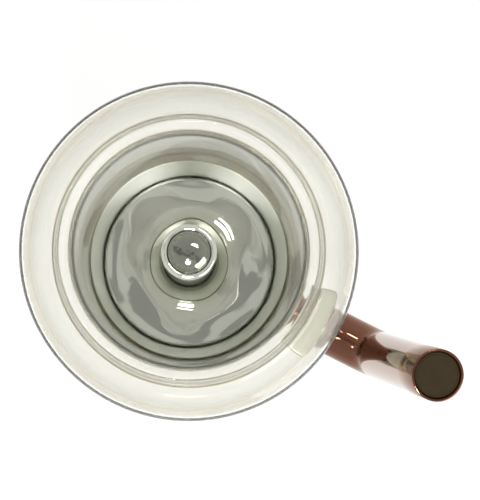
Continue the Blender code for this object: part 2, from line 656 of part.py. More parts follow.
def make_electronics():
    """The control board on its posts, with its larger components."""
    profile = [(0, BOARD_TOP), (BOARD_RADIUS, BOARD_TOP), (BOARD_RADIUS, BOARD_BOTTOM), (0, BOARD_BOTTOM)]
    turned("control_board", profile, "board")
    for i, (x, y) in enumerate(around(3, BOARD_RADIUS - 4.5 * MM)):
        low = (x, y, PLATE_TOP + CLEARANCE)
        cylinder(f"board_post_{i + 1}", "brass", 2.2 * MM, low, BOARD_POST_HEIGHT, segments=12)
    on_board = BOARD_TOP + CLEARANCE
    low = (20 * MM, 11 * MM, on_board)
    cylinder("filter_capacitor", "black_plastic", CAPACITOR_RADIUS, low, CAPACITOR_HEIGHT)
    relay = (10 * MM, 12 * MM, 12 * MM)
    block("heater_relay", relay, (-20 * MM, -9 * MM, on_board + relay[2] / 2), "black_plastic")
    supply = (10 * MM, 13 * MM, 14 * MM)
    block("power_supply", supply, (-20 * MM, 9 * MM, on_board + supply[2] / 2), "brass")


def along_front(name, profile, finish, segments=32):
    """Turned about Y at the button's height: the heights are distances in front of the jug's axis."""
    made = frozen(turned(name, profile, finish, segments))
    made.data.transform(Matrix.Translation((0, 0, BUTTON_HEIGHT)) @ Matrix.Rotation(pi / 2, 4, "X"))


def make_button():
    """The start button with its stem, in its bezel."""
    inner = BUTTON_RADIUS + CLEARANCE
    outer = inner + BEZEL_WALL
    front = BASE_RADIUS + BEZEL_PROUD
    back = front - BEZEL_LENGTH
    profile = [(inner, front), (outer, front), (outer, back), (inner, back)]
    along_front("button_bezel", profile, "polished_steel")
    edge_centre = (BUTTON_RADIUS - BUTTON_EDGE, BUTTON_FACE - BUTTON_EDGE)
    profile = [(0, BUTTON_FACE), *arc(*edge_centre, BUTTON_EDGE, 90, 0, 3)]
    profile += [(BUTTON_RADIUS, BUTTON_BACK), (STEM_RADIUS, BUTTON_BACK)]
    profile += [(STEM_RADIUS, STEM_END), (0, STEM_END)]
    along_front("power_button", profile, "dark_plug")


def make_button_spring():
    """The coil spring between the button's back and the switch."""
    low = SWITCH_FRONT + SPRING_WIRE + CLEARANCE
    high = BUTTON_BACK - SPRING_WIRE - CLEARANCE
    steps = 12 * SPRING_TURNS
    coil = []
    for i in range(steps + 1):
        angle = 2 * pi * SPRING_TURNS * i / steps
        along = low + (high - low) * i / steps
        coil.append((SPRING_RADIUS * cos(angle), -along, BUTTON_HEIGHT + SPRING_RADIUS * sin(angle)))
    wire("button_spring", coil, SPRING_WIRE, "polished_steel", resolution=1)


def make_button_switch():
    """The switch behind the button, on its own small upright board."""
    size = (SWITCH_WIDTH, SWITCH_DEPTH, SWITCH_WIDTH)
    block("button_switch", size, (0, -SWITCH_FRONT + SWITCH_DEPTH / 2, BUTTON_HEIGHT), "black_plastic")
    board_y = -SWITCH_FRONT + SWITCH_DEPTH + CLEARANCE + BOARD_THICKNESS / 2
    low = BOARD_TOP + CLEARANCE
    high = BUTTON_HEIGHT + BUTTON_BOARD_ABOVE
    size = (BUTTON_BOARD_WIDTH, BOARD_THICKNESS, high - low)
    block("button_board", size, (0, board_y, (low + high) / 2), "board", 0.2 * MM)


def make_inlet():
    """The two-pin power inlet at the back: its housing and pins."""
    outer = BASE_RADIUS + INLET_PROUD
    height = INLET_AXIS_HEIGHT
    size = (INLET_WIDTH, INLET_DEPTH, INLET_HEIGHT)
    housing = frozen(block("power_inlet", size, (0, outer - INLET_DEPTH / 2, height), "black_plastic"))
    cavity_depth = INLET_DEPTH - INLET_BACK_WALL
    cavity = (INLET_WIDTH - 2 * INLET_WALL, 2 * cavity_depth, INLET_HEIGHT - 2 * INLET_WALL)
    boolean(housing, box_cutter(cavity, (0, outer, height)))
    pin_hole = INLET_PIN_RADIUS + CLEARANCE
    for i, side in enumerate((-1, 1)):
        x = side * INLET_PIN_SPACING / 2
        hole_length = 2 * INLET_BACK_WALL + 2 * MM
        boolean(housing, cylinder_cutter(pin_hole, hole_length, (x, outer - INLET_DEPTH, height), "Y"))
        low = (x, outer - INLET_DEPTH - INLET_TAIL, height)
        cylinder(f"inlet_pin_{i + 1}", "brass", INLET_PIN_RADIUS, low, INLET_DEPTH - INLET_TAIL, "Y", 12)


# Jug ---------------------------------------------------------------------------------------------
def make_collar():
    """The metal collar round the jug's foot, which holds the glass and the pan."""
    opening = HOT_PLATE_RADIUS + 1.0 * MM
    profile = [(COLLAR_INNER, COLLAR_TOP), (BASE_RADIUS, COLLAR_TOP), (BASE_RADIUS, COLLAR_BOTTOM)]
    profile += [(opening, COLLAR_BOTTOM), (opening, COLLAR_BOTTOM + COLLAR_FLOOR)]
    profile += [(COLLAR_INNER, COLLAR_BOTTOM + COLLAR_FLOOR)]
    collar = frozen(turned("jug_collar", profile, "bronze"))
    for y in bracket_screw_offsets():
        place = (BASE_RADIUS, y, BRACKET_SCREW_HEIGHT)
        boolean(collar, cylinder_cutter(BRACKET_SCREW_RADIUS + CLEARANCE, 8 * MM, place, "X", 12))


def pan_outline(offset):
    """The pan's inner outline moved out by the offset, from its rim down to the flat of its floor."""
    rim_lip = 1.0 * MM
    side_low = PAN_FLOOR + PAN_CORNER
    points = [(PAN_RIM_RADIUS + offset, PAN_RIM - rim_lip)]
    points += arc(PAN_FLOOR_RADIUS - PAN_CORNER, side_low, PAN_CORNER + offset, 0, -90, 6)
    return points


def make_pan():
    """The drawn steel pan that forms the jug's bottom and heats the milk."""
    dome_edge = 1.5 * MM
    fillet = 1.2 * MM
    bend_centre = (PAN_BOSS_RADIUS - dome_edge, PAN_BOSS_TOP - dome_edge)
    top = [(0, PAN_BOSS_TOP), *arc(*bend_centre, dome_edge, 90, 20, 3)]
    top += arc(PAN_BOSS_RADIUS + fillet, PAN_FLOOR + fillet, fillet, 190, 270, 3)
    top += pan_outline(0)[::-1]
    top += [(PAN_RIM_RADIUS + 0.5 * MM, PAN_RIM), (PAN_FLANGE_RADIUS, PAN_RIM)]
    top += [(PAN_FLANGE_RADIUS, PAN_RIM - PAN_WALL)]
    turned("milk_pan", top + pan_outline(PAN_WALL) + [(0, PAN_BOTTOM)], "polished_steel")


def make_foot_seals():
    """The two silicone rings under the feet of the inner and the outer glass wall."""
    low = PAN_RIM + CLEARANCE
    inner = PAN_RIM_RADIUS + 0.5 * MM
    ring("inner_foot_seal", inner, PAN_FLANGE_RADIUS, low, low + FOOT_SEAL_THICKNESS, "silicone")
    low = COLLAR_TOP + CLEARANCE
    ring("outer_foot_seal", COLLAR_INNER, BASE_RADIUS, low, low + FOOT_SEAL_THICKNESS, "silicone")


def outer_glass_outline():
    """The outer wall's outside, from the lip's bead down to its foot."""
    widest = LIP_HEIGHT - WIDEST_BELOW_LIP
    reach = GLASS_RADIUS - LIP_RADIUS
    drop = widest - OUTER_GLASS_BOTTOM
    spread = GLASS_RADIUS - BASE_RADIUS
    points = [
        (LIP_RADIUS, LIP_HEIGHT - GLASS_WALL / 2),
        (LIP_RADIUS + 0.05 * reach, LIP_HEIGHT - 4.0 * MM),
        (LIP_RADIUS + 0.62 * reach, LIP_HEIGHT - 6.8 * MM),
        (GLASS_RADIUS, widest),
        (GLASS_RADIUS - 0.08 * spread, widest - 0.35 * drop),
        (GLASS_RADIUS - 0.40 * spread, widest - 0.72 * drop),
        (GLASS_RADIUS - 0.90 * spread, widest - 0.96 * drop),
        (BASE_RADIUS - 0.2 * MM, OUTER_GLASS_BOTTOM),
    ]
    return smooth_through(points, 2)


def make_outer_glass():
    """The outer glass wall with the rounded lip. The real one is fused to the inner wall."""
    outer = outer_glass_outline()
    inner = offset_inward(outer, GLASS_WALL)
    bead = arc(LIP_RADIUS - GLASS_WALL / 2, LIP_HEIGHT - GLASS_WALL / 2, GLASS_WALL / 2, 150, 30, 3)
    turned("outer_glass", bead + outer + inner[::-1], "glass")


def inner_glass_outline():
    """The inner wall's inside: a slight taper, with a neck that opens towards the lip."""
    top = LIP_HEIGHT - INNER_TOP_BELOW_LIP
    neck = LIP_HEIGHT - INNER_NECK_BELOW_LIP
    flare = 1.0 * MM
    points = [
        (INNER_NECK_RADIUS + flare, top),
        (INNER_NECK_RADIUS + 0.35 * flare, (top + neck) / 2),
        (INNER_NECK_RADIUS, neck),
        (PAN_RIM_RADIUS, INNER_GLASS_BOTTOM),
    ]
    return smooth_through(points, 2)


def make_inner_glass():
    """The inner glass wall, which holds the milk."""
    inside = inner_glass_outline()
    outside = offset_inward(inside, -INNER_GLASS_WALL)
    turned("inner_glass", outside + inside[::-1], "glass")


# Handle ------------------------------------------------------------------------------------------
def bracket_screw_offsets():
    """Where the two screws from the collar into the bracket are, along Y."""
    return [-BRACKET_SCREW_SPREAD, BRACKET_SCREW_SPREAD]


def half_space_cutter(angle_deg):
    """A block on the far side of the plane through the jug's axis at an angle from +X."""
    side = 1 if angle_deg > 0 else -1
    size = 4 * BRACKET_OUTER
    cutter = box_cutter((size, size, size), (0, 0, 0))
    turn = Matrix.Rotation(radians(angle_deg), 4, "Z")
    cutter.location = turn @ Vector((0, side * size / 2, STUB_HEIGHT))
    cutter.rotation_euler = (0, 0, radians(angle_deg))
    return cutter


def make_bracket():
    """The block between the collar and the handle: a ring's sector with a spigot for the tube."""
    low = STUB_HEIGHT - BRACKET_THICKNESS / 2
    high = STUB_HEIGHT + BRACKET_THICKNESS / 2
    corner = 3.0 * MM
    profile = [(BRACKET_INNER, high), (BRACKET_OUTER, high)]
    profile += arc(BRACKET_OUTER - corner, low + corner, corner, 0, -90, 4)
    profile += [(BRACKET_INNER, low)]
    bracket = turned("handle_bracket", profile, "brushed_steel", 72)
    boolean(bracket, half_space_cutter(BRACKET_SECTOR / 2))
    boolean(bracket, half_space_cutter(-BRACKET_SECTOR / 2))
    bracket = frozen(bracket)
    root = 4 * MM
    reach = SPIGOT_END - BRACKET_OUTER + root
    middle = SPIGOT_END - reach / 2
    boolean(bracket, cylinder_cutter(SPIGOT_RADIUS, reach, (middle, 0, STUB_HEIGHT), "X", 32), "UNION")
    for y in bracket_screw_offsets():
        depth = 2 * (BRACKET_SCREW_LENGTH + COLLAR_WALL)
        place = (BRACKET_INNER, y, BRACKET_SCREW_HEIGHT)
        boolean(bracket, cylinder_cutter(BRACKET_SCREW_RADIUS + CLEARANCE, depth, place, "X", 12))
    grub_place = (GRUB_X, 0, STUB_HEIGHT - SPIGOT_RADIUS)
    boolean(bracket, cylinder_cutter(GRUB_RADIUS + CLEARANCE, 9 * MM, grub_place, "Z"))


def make_bracket_screws():
    """The two screws from inside the collar that hold the bracket."""
    head_length = 1.2 * MM
    for i, y in enumerate(bracket_screw_offsets()):
        wall = (COLLAR_INNER**2 - (abs(y) + BRACKET_SCREW_HEAD) ** 2) ** 0.5
        head = Matrix.Translation((wall - CLEARANCE, y, BRACKET_SCREW_HEIGHT))
        place = head @ Matrix.Rotation(pi / 2, 4, "Y")
        name = f"bracket_screw_{i + 1}"
        length = BRACKET_SCREW_LENGTH
        screw(name, "polished_steel", BRACKET_SCREW_RADIUS, BRACKET_SCREW_HEAD, head_length, length, place)


def handle_path():
    """The tube's axis: the straight stub, a bend, and the leaning grip."""
    centre = Vector((BEND_START_X, 0, STUB_HEIGHT + BEND_RADIUS))
    points = [Vector((BRACKET_OUTER + CLEARANCE, 0, STUB_HEIGHT))]
    bend_steps = 10
    for i in range(bend_steps + 1):
        angle = BEND_ANGLE * i / bend_steps
        points.append(centre + BEND_RADIUS * Vector((sin(angle), 0, -cos(angle))))
    points.append(GRIP_TOP)
    return points


def make_handle_tube():
    """The copper tube: a swept surface made into a wall, with a hole under the stub for the grub screw."""
    swept = wire("handle_sweep", handle_path(), TUBE_RADIUS, "copper", resolution=7)
    swept.data.use_fill_caps = False
    graph = bpy.context.evaluated_depsgraph_get()
    mesh = bpy.data.meshes.new_from_object(swept.evaluated_get(graph))
    bpy.data.objects.remove(swept)
    tube = add_part("handle_tube", mesh, "copper")
    wall = tube.modifiers.new("Wall", "SOLIDIFY")
    wall.thickness = TUBE_WALL
    wall.offset = -1
    hole = cylinder_cutter(GRUB_RADIUS + CLEARANCE, 6 * MM, (GRUB_X, 0, STUB_HEIGHT - TUBE_RADIUS), "Z")
    boolean(tube, hole)


def make_handle_screw():
    """The grub screw that clamps the tube to the bracket's spigot."""
    low = (GRUB_X, 0, STUB_HEIGHT - TUBE_RADIUS + 0.1 * MM)
    cylinder("handle_grub_screw", "black_plastic", GRUB_RADIUS, low, 4.5 * MM, segments=12)


def make_end_cap():
    """The dark plug that closes the grip's top, a little below the tube's edge."""
    radius = TUBE_RADIUS - TUBE_WALL - CLEARANCE
    edge = 0.3 * MM
    profile = [(0, 0), (radius - edge, 0), (radius, -edge), (radius, -END_CAP_DEPTH), (0, -END_CAP_DEPTH)]
    cap = frozen(turned("handle_end_cap", profile, "dark_plug", 36))
    lean = atan2(GRIP_DIRECTION.x, GRIP_DIRECTION.z)
    top = GRIP_TOP - GRIP_DIRECTION * END_CAP_RECESS
    cap.data.transform(Matrix.Translation(top) @ Matrix.Rotation(lean, 4, "Y"))


# Whisk -------------------------------------------------------------------------------------------
def make_spindle():
    """The whisk's fixed spindle, which stands on the pan's boss."""
    chamfer = 0.6 * MM
    profile = [(0, SPINDLE_TOP), (SPINDLE_RADIUS - chamfer, SPINDLE_TOP)]
    profile += [(SPINDLE_RADIUS, SPINDLE_TOP - chamfer)]
    profile += [(SPINDLE_RADIUS, SPINDLE_FLANGE_TOP), (SPINDLE_FLANGE, SPINDLE_FLANGE_TOP)]
    profile += [(SPINDLE_FLANGE, SPINDLE_BOTTOM), (0, SPINDLE_BOTTOM)]
    turned("whisk_spindle", profile, "polished_steel", SMALL_SEGMENTS)


def make_bush():
    """The sleeve that stands on the spindle. The whisk turns round it."""
    profile = [(0, BUSH_TOP), (BUSH_OUTER, BUSH_TOP)]
    profile += [(BUSH_OUTER, BUSH_FLANGE_TOP), (BUSH_FLANGE, BUSH_FLANGE_TOP)]
    profile += [(BUSH_FLANGE, BUSH_BOTTOM), (BUSH_INNER, BUSH_BOTTOM)]
    profile += [(BUSH_INNER, BUSH_TOP - BUSH_WALL), (0, BUSH_TOP - BUSH_WALL)]
    turned("whisk_bush", profile, "grey_plastic", SMALL_SEGMENTS)


def bell_outline():
    """The bell's outer profile: a straight column that flares into a flat skirt."""
    points = [(BELL_COLUMN_RADIUS, BELL_TOP - BELL_CROWN_EDGE)]
    points += [(BELL_COLUMN_RADIUS + out, BELL_RIM_TOP + up) for out, up in BELL_FLARE]
    points += [(BELL_RADIUS, BELL_RIM_TOP)]
    return smooth_through(points, 2)


def make_bell():
    """The polished whisk bell, a thin shell with a hole at the top for the knob."""
    outer = bell_outline()
    inner = offset_inward(outer, BELL_WALL)
    edge = BELL_CROWN_EDGE
    crown = [(KNOB_SEAT_RADIUS, BELL_TOP)]
    crown += arc(BELL_COLUMN_RADIUS - edge, BELL_TOP - edge, edge, 90, 10, 3)
    inside = [(KNOB_SEAT_RADIUS, BELL_TOP - BELL_CROWN_EDGE - BELL_WALL)]
    turned("whisk_bell", crown + outer + inner[::-1] + inside, "polished_steel")


def make_knob():
    """The domed knob pressed into the bell's top, for lifting the whisk out."""
    radius = KNOB_SEAT_RADIUS - CLEARANCE
    base = BELL_TOP - 1.0 * MM
    steps = 6
    angles = [pi / 2 * i / steps for i in range(1, steps + 1)]
    dome = [(radius * sin(a), base + KNOB_RISE * cos(a)) for a in angles]
    profile = [(0, base + KNOB_RISE), *dome, (radius, BELL_TOP - KNOB_STEM), (0, BELL_TOP - KNOB_STEM)]
    turned("whisk_knob", profile, "polished_steel", 32)


def make_whisk_core():
    """The core inside the bell: a sleeve round the bush, arms for the coil, and magnet pockets."""
    bore = BUSH_OUTER + CLEARANCE
    outer = BELL_COLUMN_RADIUS - BELL_WALL - CLEARANCE
    low = BUSH_FLANGE_TOP + CLEARANCE
    ceiling = BUSH_TOP + CLEARANCE
    high = ceiling + 1.0 * MM
    hub = WHISK_MAGNET_CIRCLE + MAGNET_RADIUS + 1.1 * MM
    profile = [(0, high), (outer, high), (outer, ARM_TOP), (hub, ARM_TOP), (hub, ARM_BOTTOM)]
    profile += [(outer, ARM_BOTTOM), (outer, low), (bore, low), (bore, ceiling), (0, ceiling)]
    core = frozen(turned("whisk_core", profile, "grey_plastic", 32))
    reach = FROTH_COIL_RADIUS - FROTH_COIL_MINOR - FROTH_WIRE - CLEARANCE
    root = hub - 1 * MM
    for x, y in around(4, 1.0, 45):
        arm = box_cutter((reach - root, WHISK_ARM_WIDTH, WHISK_ARM_THICKNESS * 0.9), (0, 0, 0))
        middle = (reach + root) / 2
        arm.location = (x * middle, y * middle, (ARM_TOP + ARM_BOTTOM) / 2)
        arm.rotation_euler = (0, 0, atan2(y, x))
        boolean(core, arm, "UNION")
    for i, (x, y) in enumerate(around(MAGNET_COUNT, WHISK_MAGNET_CIRCLE)):
        boolean(core, cylinder_cutter(MAGNET_RADIUS + CLEARANCE, 2.8 * MM, (x, y, ARM_BOTTOM)))
        low_point = (x, y, ARM_BOTTOM + 0.1 * MM)
        cylinder(f"whisk_magnet_{i + 1}", "magnet", MAGNET_RADIUS, low_point, WHISK_MAGNET_HEIGHT)


def make_froth_coil():
    """The wire coil that whips air into the milk: a helix bent into a ring."""
    steps = 5 * FROTH_TURNS
    points = []
    for i in range(steps):
        turn = 2 * pi * i / steps
        twist = turn * FROTH_TURNS
        radius = FROTH_COIL_RADIUS + FROTH_COIL_MINOR * cos(twist)
        height = FROTH_COIL_HEIGHT + FROTH_COIL_MINOR * sin(twist)
        points.append((radius * cos(turn), radius * sin(turn), height))
    wire("froth_coil", points, FROTH_WIRE, "polished_steel", closed=True, resolution=0)


def main():
    """Makes every piece, from the base up to the whisk."""
    make_base_shell()
    make_base_plate()
    make_base_feet()
    make_base_screws()
    make_hot_plate()
    make_heater()
    make_chassis()
    make_motor()
    make_drive_disc()
    make_electronics()
    make_button()
    make_button_spring()
    make_button_switch()
    make_inlet()
    make_collar()
    make_pan()
    make_foot_seals()
    make_outer_glass()
    make_inner_glass()
    make_bracket()
    make_bracket_screws()
    make_handle_tube()
    make_handle_screw()
    make_end_cap()
    make_spindle()
    make_bush()
    make_bell()
    make_knob()
    make_whisk_core()
    make_froth_coil()


main()
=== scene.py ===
"""The looks of the milk frother: its glass, metals and plastics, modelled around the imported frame."""

import json
from math import atan2, cos, hypot, pi, radians, sin

import bmesh
import bpy
from mathutils import Matrix, Vector


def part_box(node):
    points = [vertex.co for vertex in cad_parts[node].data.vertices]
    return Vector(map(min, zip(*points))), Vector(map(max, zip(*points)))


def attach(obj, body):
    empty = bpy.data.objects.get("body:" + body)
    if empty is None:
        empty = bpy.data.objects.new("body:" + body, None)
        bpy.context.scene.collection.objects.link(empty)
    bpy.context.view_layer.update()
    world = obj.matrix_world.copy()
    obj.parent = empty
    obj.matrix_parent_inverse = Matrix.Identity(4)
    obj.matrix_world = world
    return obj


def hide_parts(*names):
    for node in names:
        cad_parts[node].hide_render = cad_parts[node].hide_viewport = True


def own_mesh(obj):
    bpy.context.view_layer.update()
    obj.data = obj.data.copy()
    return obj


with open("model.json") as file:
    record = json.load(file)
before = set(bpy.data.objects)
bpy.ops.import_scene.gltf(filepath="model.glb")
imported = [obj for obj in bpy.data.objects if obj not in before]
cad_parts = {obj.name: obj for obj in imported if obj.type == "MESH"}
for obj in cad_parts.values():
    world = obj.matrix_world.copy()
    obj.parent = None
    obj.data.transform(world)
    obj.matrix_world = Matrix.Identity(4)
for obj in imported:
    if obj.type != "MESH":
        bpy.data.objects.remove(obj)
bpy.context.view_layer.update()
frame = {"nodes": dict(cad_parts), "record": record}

MM = 0.001
ROUND = 128  # sides of a large turned piece
SMALL_ROUND = 48

scene = bpy.context.scene
nodes = frame["nodes"]


# Sizes read from the frame -----------------------------------------------------------------------
def low(node):
    """The corner of a CAD node's box with the smallest x, y and z."""
    return Vector(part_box(node)[0])


def high(node):
    """The corner of a CAD node's box with the largest x, y and z."""
    return Vector(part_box(node)[1])


TABLE = low("base_foot_1").z
BASE_RADIUS = high("base_shell").x
BASE_TOP = high("base_shell").z
COLLAR_BOTTOM = low("jug_collar").z
COLLAR_TOP = high("jug_collar").z
LIP_TOP = high("outer_glass").z
GLASS_RADIUS = high("outer_glass").x
OUTER_FOOT = low("outer_glass").z
INNER_FOOT = low("inner_glass").z
PAN_BOTTOM = low("milk_pan").z
PAN_RIM = high("milk_pan").z
BELL_TOP = high("whisk_bell").z
BELL_BOTTOM = low("whisk_bell").z
BELL_RADIUS = high("whisk_bell").x
KNOB_RADIUS = high("whisk_knob").x
KNOB_TOP = high("whisk_knob").z

# Sizes that the frame's boxes don't give
LIP_RADIUS = 42.5 * MM
LIP_WIDTH = 2.2 * MM
SHOULDER_DEPTH = 13 * MM  # of the widest ring below the lip
WEB_DEPTH = 3.4 * MM  # below the lip, where the two walls part
GLASS_WALL = 1.3 * MM
INNER_WALL = 1.1 * MM
NECK_RADIUS = 37.1 * MM
PAN_WALL = 1.0 * MM
PAN_RIM_RADIUS = 34.6 * MM
PAN_FLOOR_RADIUS = 31.0 * MM
PAN_BOSS_HEIGHT = 2.4 * MM
COLLAR_WALL = 2.0 * MM
COLLAR_OPENING = 29 * MM
COLLAR_FLOOR = 1.5 * MM
COLUMN_RADIUS = 9.2 * MM
BELL_WALL = 1.2 * MM
BELL_CROWN_EDGE = 1.2 * MM
KNOB_GAP = 0.3 * MM
SKIRT_WAVE = 0.35 * MM
FROTH_RING_RADIUS = 20.5 * MM
FROTH_COIL_RADIUS = 1.7 * MM
FROTH_WIRE = 0.42 * MM
FROTH_TURNS = 60
TUBE_RADIUS = 8.5 * MM
TUBE_WALL = 1.0 * MM
BEND_RADIUS = 11 * MM
STUB_HEIGHT = 74 * MM
BEND_CENTRE_X = 75 * MM
GRIP_TOP = Vector((88.9 * MM, 0, 170 * MM))
CAP_RECESS = 0.8 * MM
CAP_LENGTH = 5.5 * MM
BRACKET_SECTOR = radians(29)
BRACKET_OUTER = 56.6 * MM
BRACKET_HALF_HEIGHT = 7 * MM
BRACKET_CORNER = 3.2 * MM
SHELL_WALL = 1.6 * MM
SHELL_OPENING = 28.6 * MM
HOT_PLATE_RADIUS = 28 * MM
HOT_PLATE_WALL = 1.2 * MM
GROOVE_FIRST = 6 * MM
GROOVE_PITCH = 4.5 * MM
GROOVE_COUNT = 5
BEZEL_WALL = 1.5 * MM
BUTTON_LENGTH = 4.5 * MM
STEM_RADIUS = 1.4 * MM
SPRING_WIRE = 0.3 * MM
SPRING_TURNS = 3

# The studio's light tent, in shares of full white
TENT_SIDE = (0.97, 0.97, 0.95)
TENT_TOP = (0.73, 0.735, 0.705)
TENT_SIDE_END = 0.45  # sine of the height up to which the sides keep their full white
TENT_BAND_LEVEL = 0.52
TENT_BAND_AZIMUTH = 2
TENT_BAND_SHIFT = 0.10  # of the band's middle from straight overhead
TENT_BAND_EDGE = (0.075, 0.10)  # from the band's middle, where it starts and stops fading
TENT_BAND_ENDS = (0.35, 0.60)  # sines of the heights between which the band fades in
TENT_BAND_NOISE = 4.5
TENT_BAND_RAGGED = 0.7

# Name, azimuth and elevation in degrees, sides in metres, and watts of each softbox
SOFTBOXES = (
    ("softbox_far", 78, 66, (0.30, 0.08), 2),
    ("softbox_side", -15, 32, (0.80, 0.70), 10),
    ("overhead", -66, 64, (0.22, 0.12), 22),
)
SOFTBOX_DISTANCE = 1.2
FLOOR_SIDE = 6
FLOOR_GLOW = 0.90

CAMERA_PLACE = Vector((13.99 * MM, -26.96 * MM, 998 * MM))
CAMERA_AIM = Vector((14.56 * MM, 7.22 * MM, LIP_TOP))
CAMERA_UP_AZIMUTH = radians(116.78)  # the direction on the table that points up in the view
CAMERA_LENS = 187.2
CAMERA_SENSOR = 36


# Materials ---------------------------------------------------------------------------------------
class Shader:
    """A Principled material with helpers for the textures that vary its colour, roughness and bump."""

    def __init__(self, name, colour, roughness, metallic=0.0, **sockets):
        self.material = bpy.data.materials.new(name)
        self.material.use_nodes = True
        self.tree = self.material.node_tree
        self.shader = self.tree.nodes["Principled BSDF"]
        self.shader.inputs["Base Color"].default_value = (*colour, 1)
        self.shader.inputs["Roughness"].default_value = roughness
        self.shader.inputs["Metallic"].default_value = metallic
        for socket, value in sockets.items():
            self.shader.inputs[socket.replace("_", " ")].default_value = value
        self.coordinates = self.tree.nodes.new("ShaderNodeTexCoord")
        self.normal = None

    def noise(self, scale, detail=3.0, stretch=(1, 1, 1), roughness=0.5):
        """A noise texture in the object's own coordinates, its features 1/scale metres across."""
        mapping = self.tree.nodes.new("ShaderNodeMapping")
        mapping.inputs["Scale"].default_value = stretch
        self.tree.links.new(self.coordinates.outputs["Object"], mapping.inputs["Vector"])
        texture = self.tree.nodes.new("ShaderNodeTexNoise")
        texture.inputs["Scale"].default_value = scale
        texture.inputs["Detail"].default_value = detail
        texture.inputs["Roughness"].default_value = roughness
        self.tree.links.new(mapping.outputs["Vector"], texture.inputs["Vector"])
        return texture.outputs["Fac"]

    def vary_roughness(self, value, low_value, high_value):
        """Lets a texture move the roughness between two values."""
        spread = self.tree.nodes.new("ShaderNodeMapRange")
        spread.inputs["From Min"].default_value = 0.3
        spread.inputs["From Max"].default_value = 0.7
        spread.inputs["To Min"].default_value = low_value
        spread.inputs["To Max"].default_value = high_value
        self.tree.links.new(value, spread.inputs["Value"])
        self.tree.links.new(spread.outputs["Result"], self.shader.inputs["Roughness"])

    def vary_colour(self, value, dark, light):
        """Lets a texture move the base colour between two colours."""
        ramp = self.tree.nodes.new("ShaderNodeValToRGB")
        ramp.color_ramp.elements[0].position = 0.3
        ramp.color_ramp.elements[0].color = (*dark, 1)
        ramp.color_ramp.elements[1].position = 0.7
        ramp.color_ramp.elements[1].color = (*light, 1)
        self.tree.links.new(value, ramp.inputs["Fac"])
        self.tree.links.new(ramp.outputs["Color"], self.shader.inputs["Base Color"])

    def bump(self, value, height, strength=0.5):
        """Adds a bump of a height in metres on top of those added before."""
        node = self.tree.nodes.new("ShaderNodeBump")
        node.inputs["Strength"].default_value = strength
        node.inputs["Distance"].default_value = height
        self.tree.links.new(value, node.inputs["Height"])
        if self.normal:
            self.tree.links.new(self.normal, node.inputs["Normal"])
        self.normal = node.outputs["Normal"]
        self.tree.links.new(self.normal, self.shader.inputs["Normal"])


def polished_steel():
    """Mirror-bright spun steel with faint cloudiness."""
    made = Shader("polished_steel", (0.58, 0.59, 0.53), 0.03, 0.9)
    made.vary_roughness(made.noise(60, 4), 0.015, 0.045)
    made.vary_colour(made.noise(35, 2), (0.565, 0.575, 0.515), (0.595, 0.605, 0.545))
    return made.material


def pan_steel():
    """The pan's satin inside, which scatters the light that falls into it."""
    made = Shader("pan_steel", (0.93, 0.95, 0.88), 0.36, 0.25)
    made.vary_roughness(made.noise(200, 3), 0.32, 0.42)
    made.vary_colour(made.noise(50, 3), (0.91, 0.93, 0.86), (0.95, 0.97, 0.90))
    made.bump(made.noise(1800, 2, (1, 1, 0.05)), 0.006 * MM)
    return made.material


def knob_steel_painted_shade():
    """The knob's steel, its base colour darkened as painted shade for the dark surroundings it reflects;
    its surface slightly lumpy.
    """
    made = Shader("knob_steel_painted_shade", (0.25, 0.255, 0.22), 0.06, 1.0)
    made.vary_roughness(made.noise(160, 3), 0.04, 0.09)
    made.vary_colour(made.noise(60, 2), (0.235, 0.24, 0.205), (0.265, 0.27, 0.235))
    made.bump(made.noise(330, 2), 0.30 * MM, 0.7)
    return made.material


def brushed_steel():
    """Steel with a fine brushed grain."""
    made = Shader("brushed_steel", (0.55, 0.56, 0.52), 0.28, 1.0)
    made.vary_roughness(made.noise(900, 3, (1, 1, 12)), 0.22, 0.36)
    made.vary_colour(made.noise(120, 3), (0.50, 0.51, 0.47), (0.58, 0.59, 0.55))
    made.bump(made.noise(2500, 2, (1, 1, 0.04)), 0.01 * MM)
    return made.material


def bracket_steel():
    """The bracket's dull, fine-blasted steel."""
    made = Shader("bracket_steel", (0.245, 0.248, 0.203), 0.50, 0.9)
    made.vary_roughness(made.noise(700, 3), 0.46, 0.54)
    made.vary_colour(made.noise(300, 3), (0.235, 0.238, 0.193), (0.255, 0.258, 0.213))
    made.bump(made.noise(3000, 2), 0.01 * MM)
    return made.material


def copper():
    """Dark polished copper under a clear lacquer."""
    made = Shader("copper", (0.152, 0.053, 0.026), 0.06, 1.0, Specular_Tint=(1.0, 0.91, 0.82, 1))
    made.vary_roughness(made.noise(140, 4), 0.04, 0.08)
    made.vary_colour(made.noise(60, 3), (0.138, 0.047, 0.022), (0.166, 0.059, 0.030))
    sockets = made.shader.inputs
    sockets["Coat Weight"].default_value = 0.6
    sockets["Coat Roughness"].default_value = 0.02
    return made.material


def bronze():
    """Pale bronze with fine turning lines."""
    made = Shader("bronze", (0.58, 0.47, 0.30), 0.30, 1.0)
    made.vary_roughness(made.noise(900, 3, (0.03, 0.03, 1)), 0.26, 0.34)
    made.vary_colour(made.noise(600, 3, (0.03, 0.03, 1)), (0.545, 0.44, 0.28), (0.595, 0.48, 0.31))
    made.bump(made.noise(2200, 2, (0.03, 0.03, 1)), 0.008 * MM)
    return made.material


def glass():
    """The jug's faintly warm glass."""
    sockets = {"Transmission_Weight": 0.96, "IOR": 1.24}
    return Shader("jug_glass", (0.95, 0.945, 0.91), 0.0, 0.0, **sockets).material


def dark_plug():
    """The nearly black brown of the tube's end and the button."""
    made = Shader("dark_plug", (0.015, 0.010, 0.004), 0.75, 0.0, Specular_IOR_Level=0.08)
    made.vary_roughness(made.noise(500, 3), 0.70, 0.80)
    made.vary_colour(made.noise(150, 3), (0.013, 0.009, 0.003), (0.017, 0.011, 0.005))
    made.bump(made.noise(1800, 2), 0.02 * MM)
    return made.material


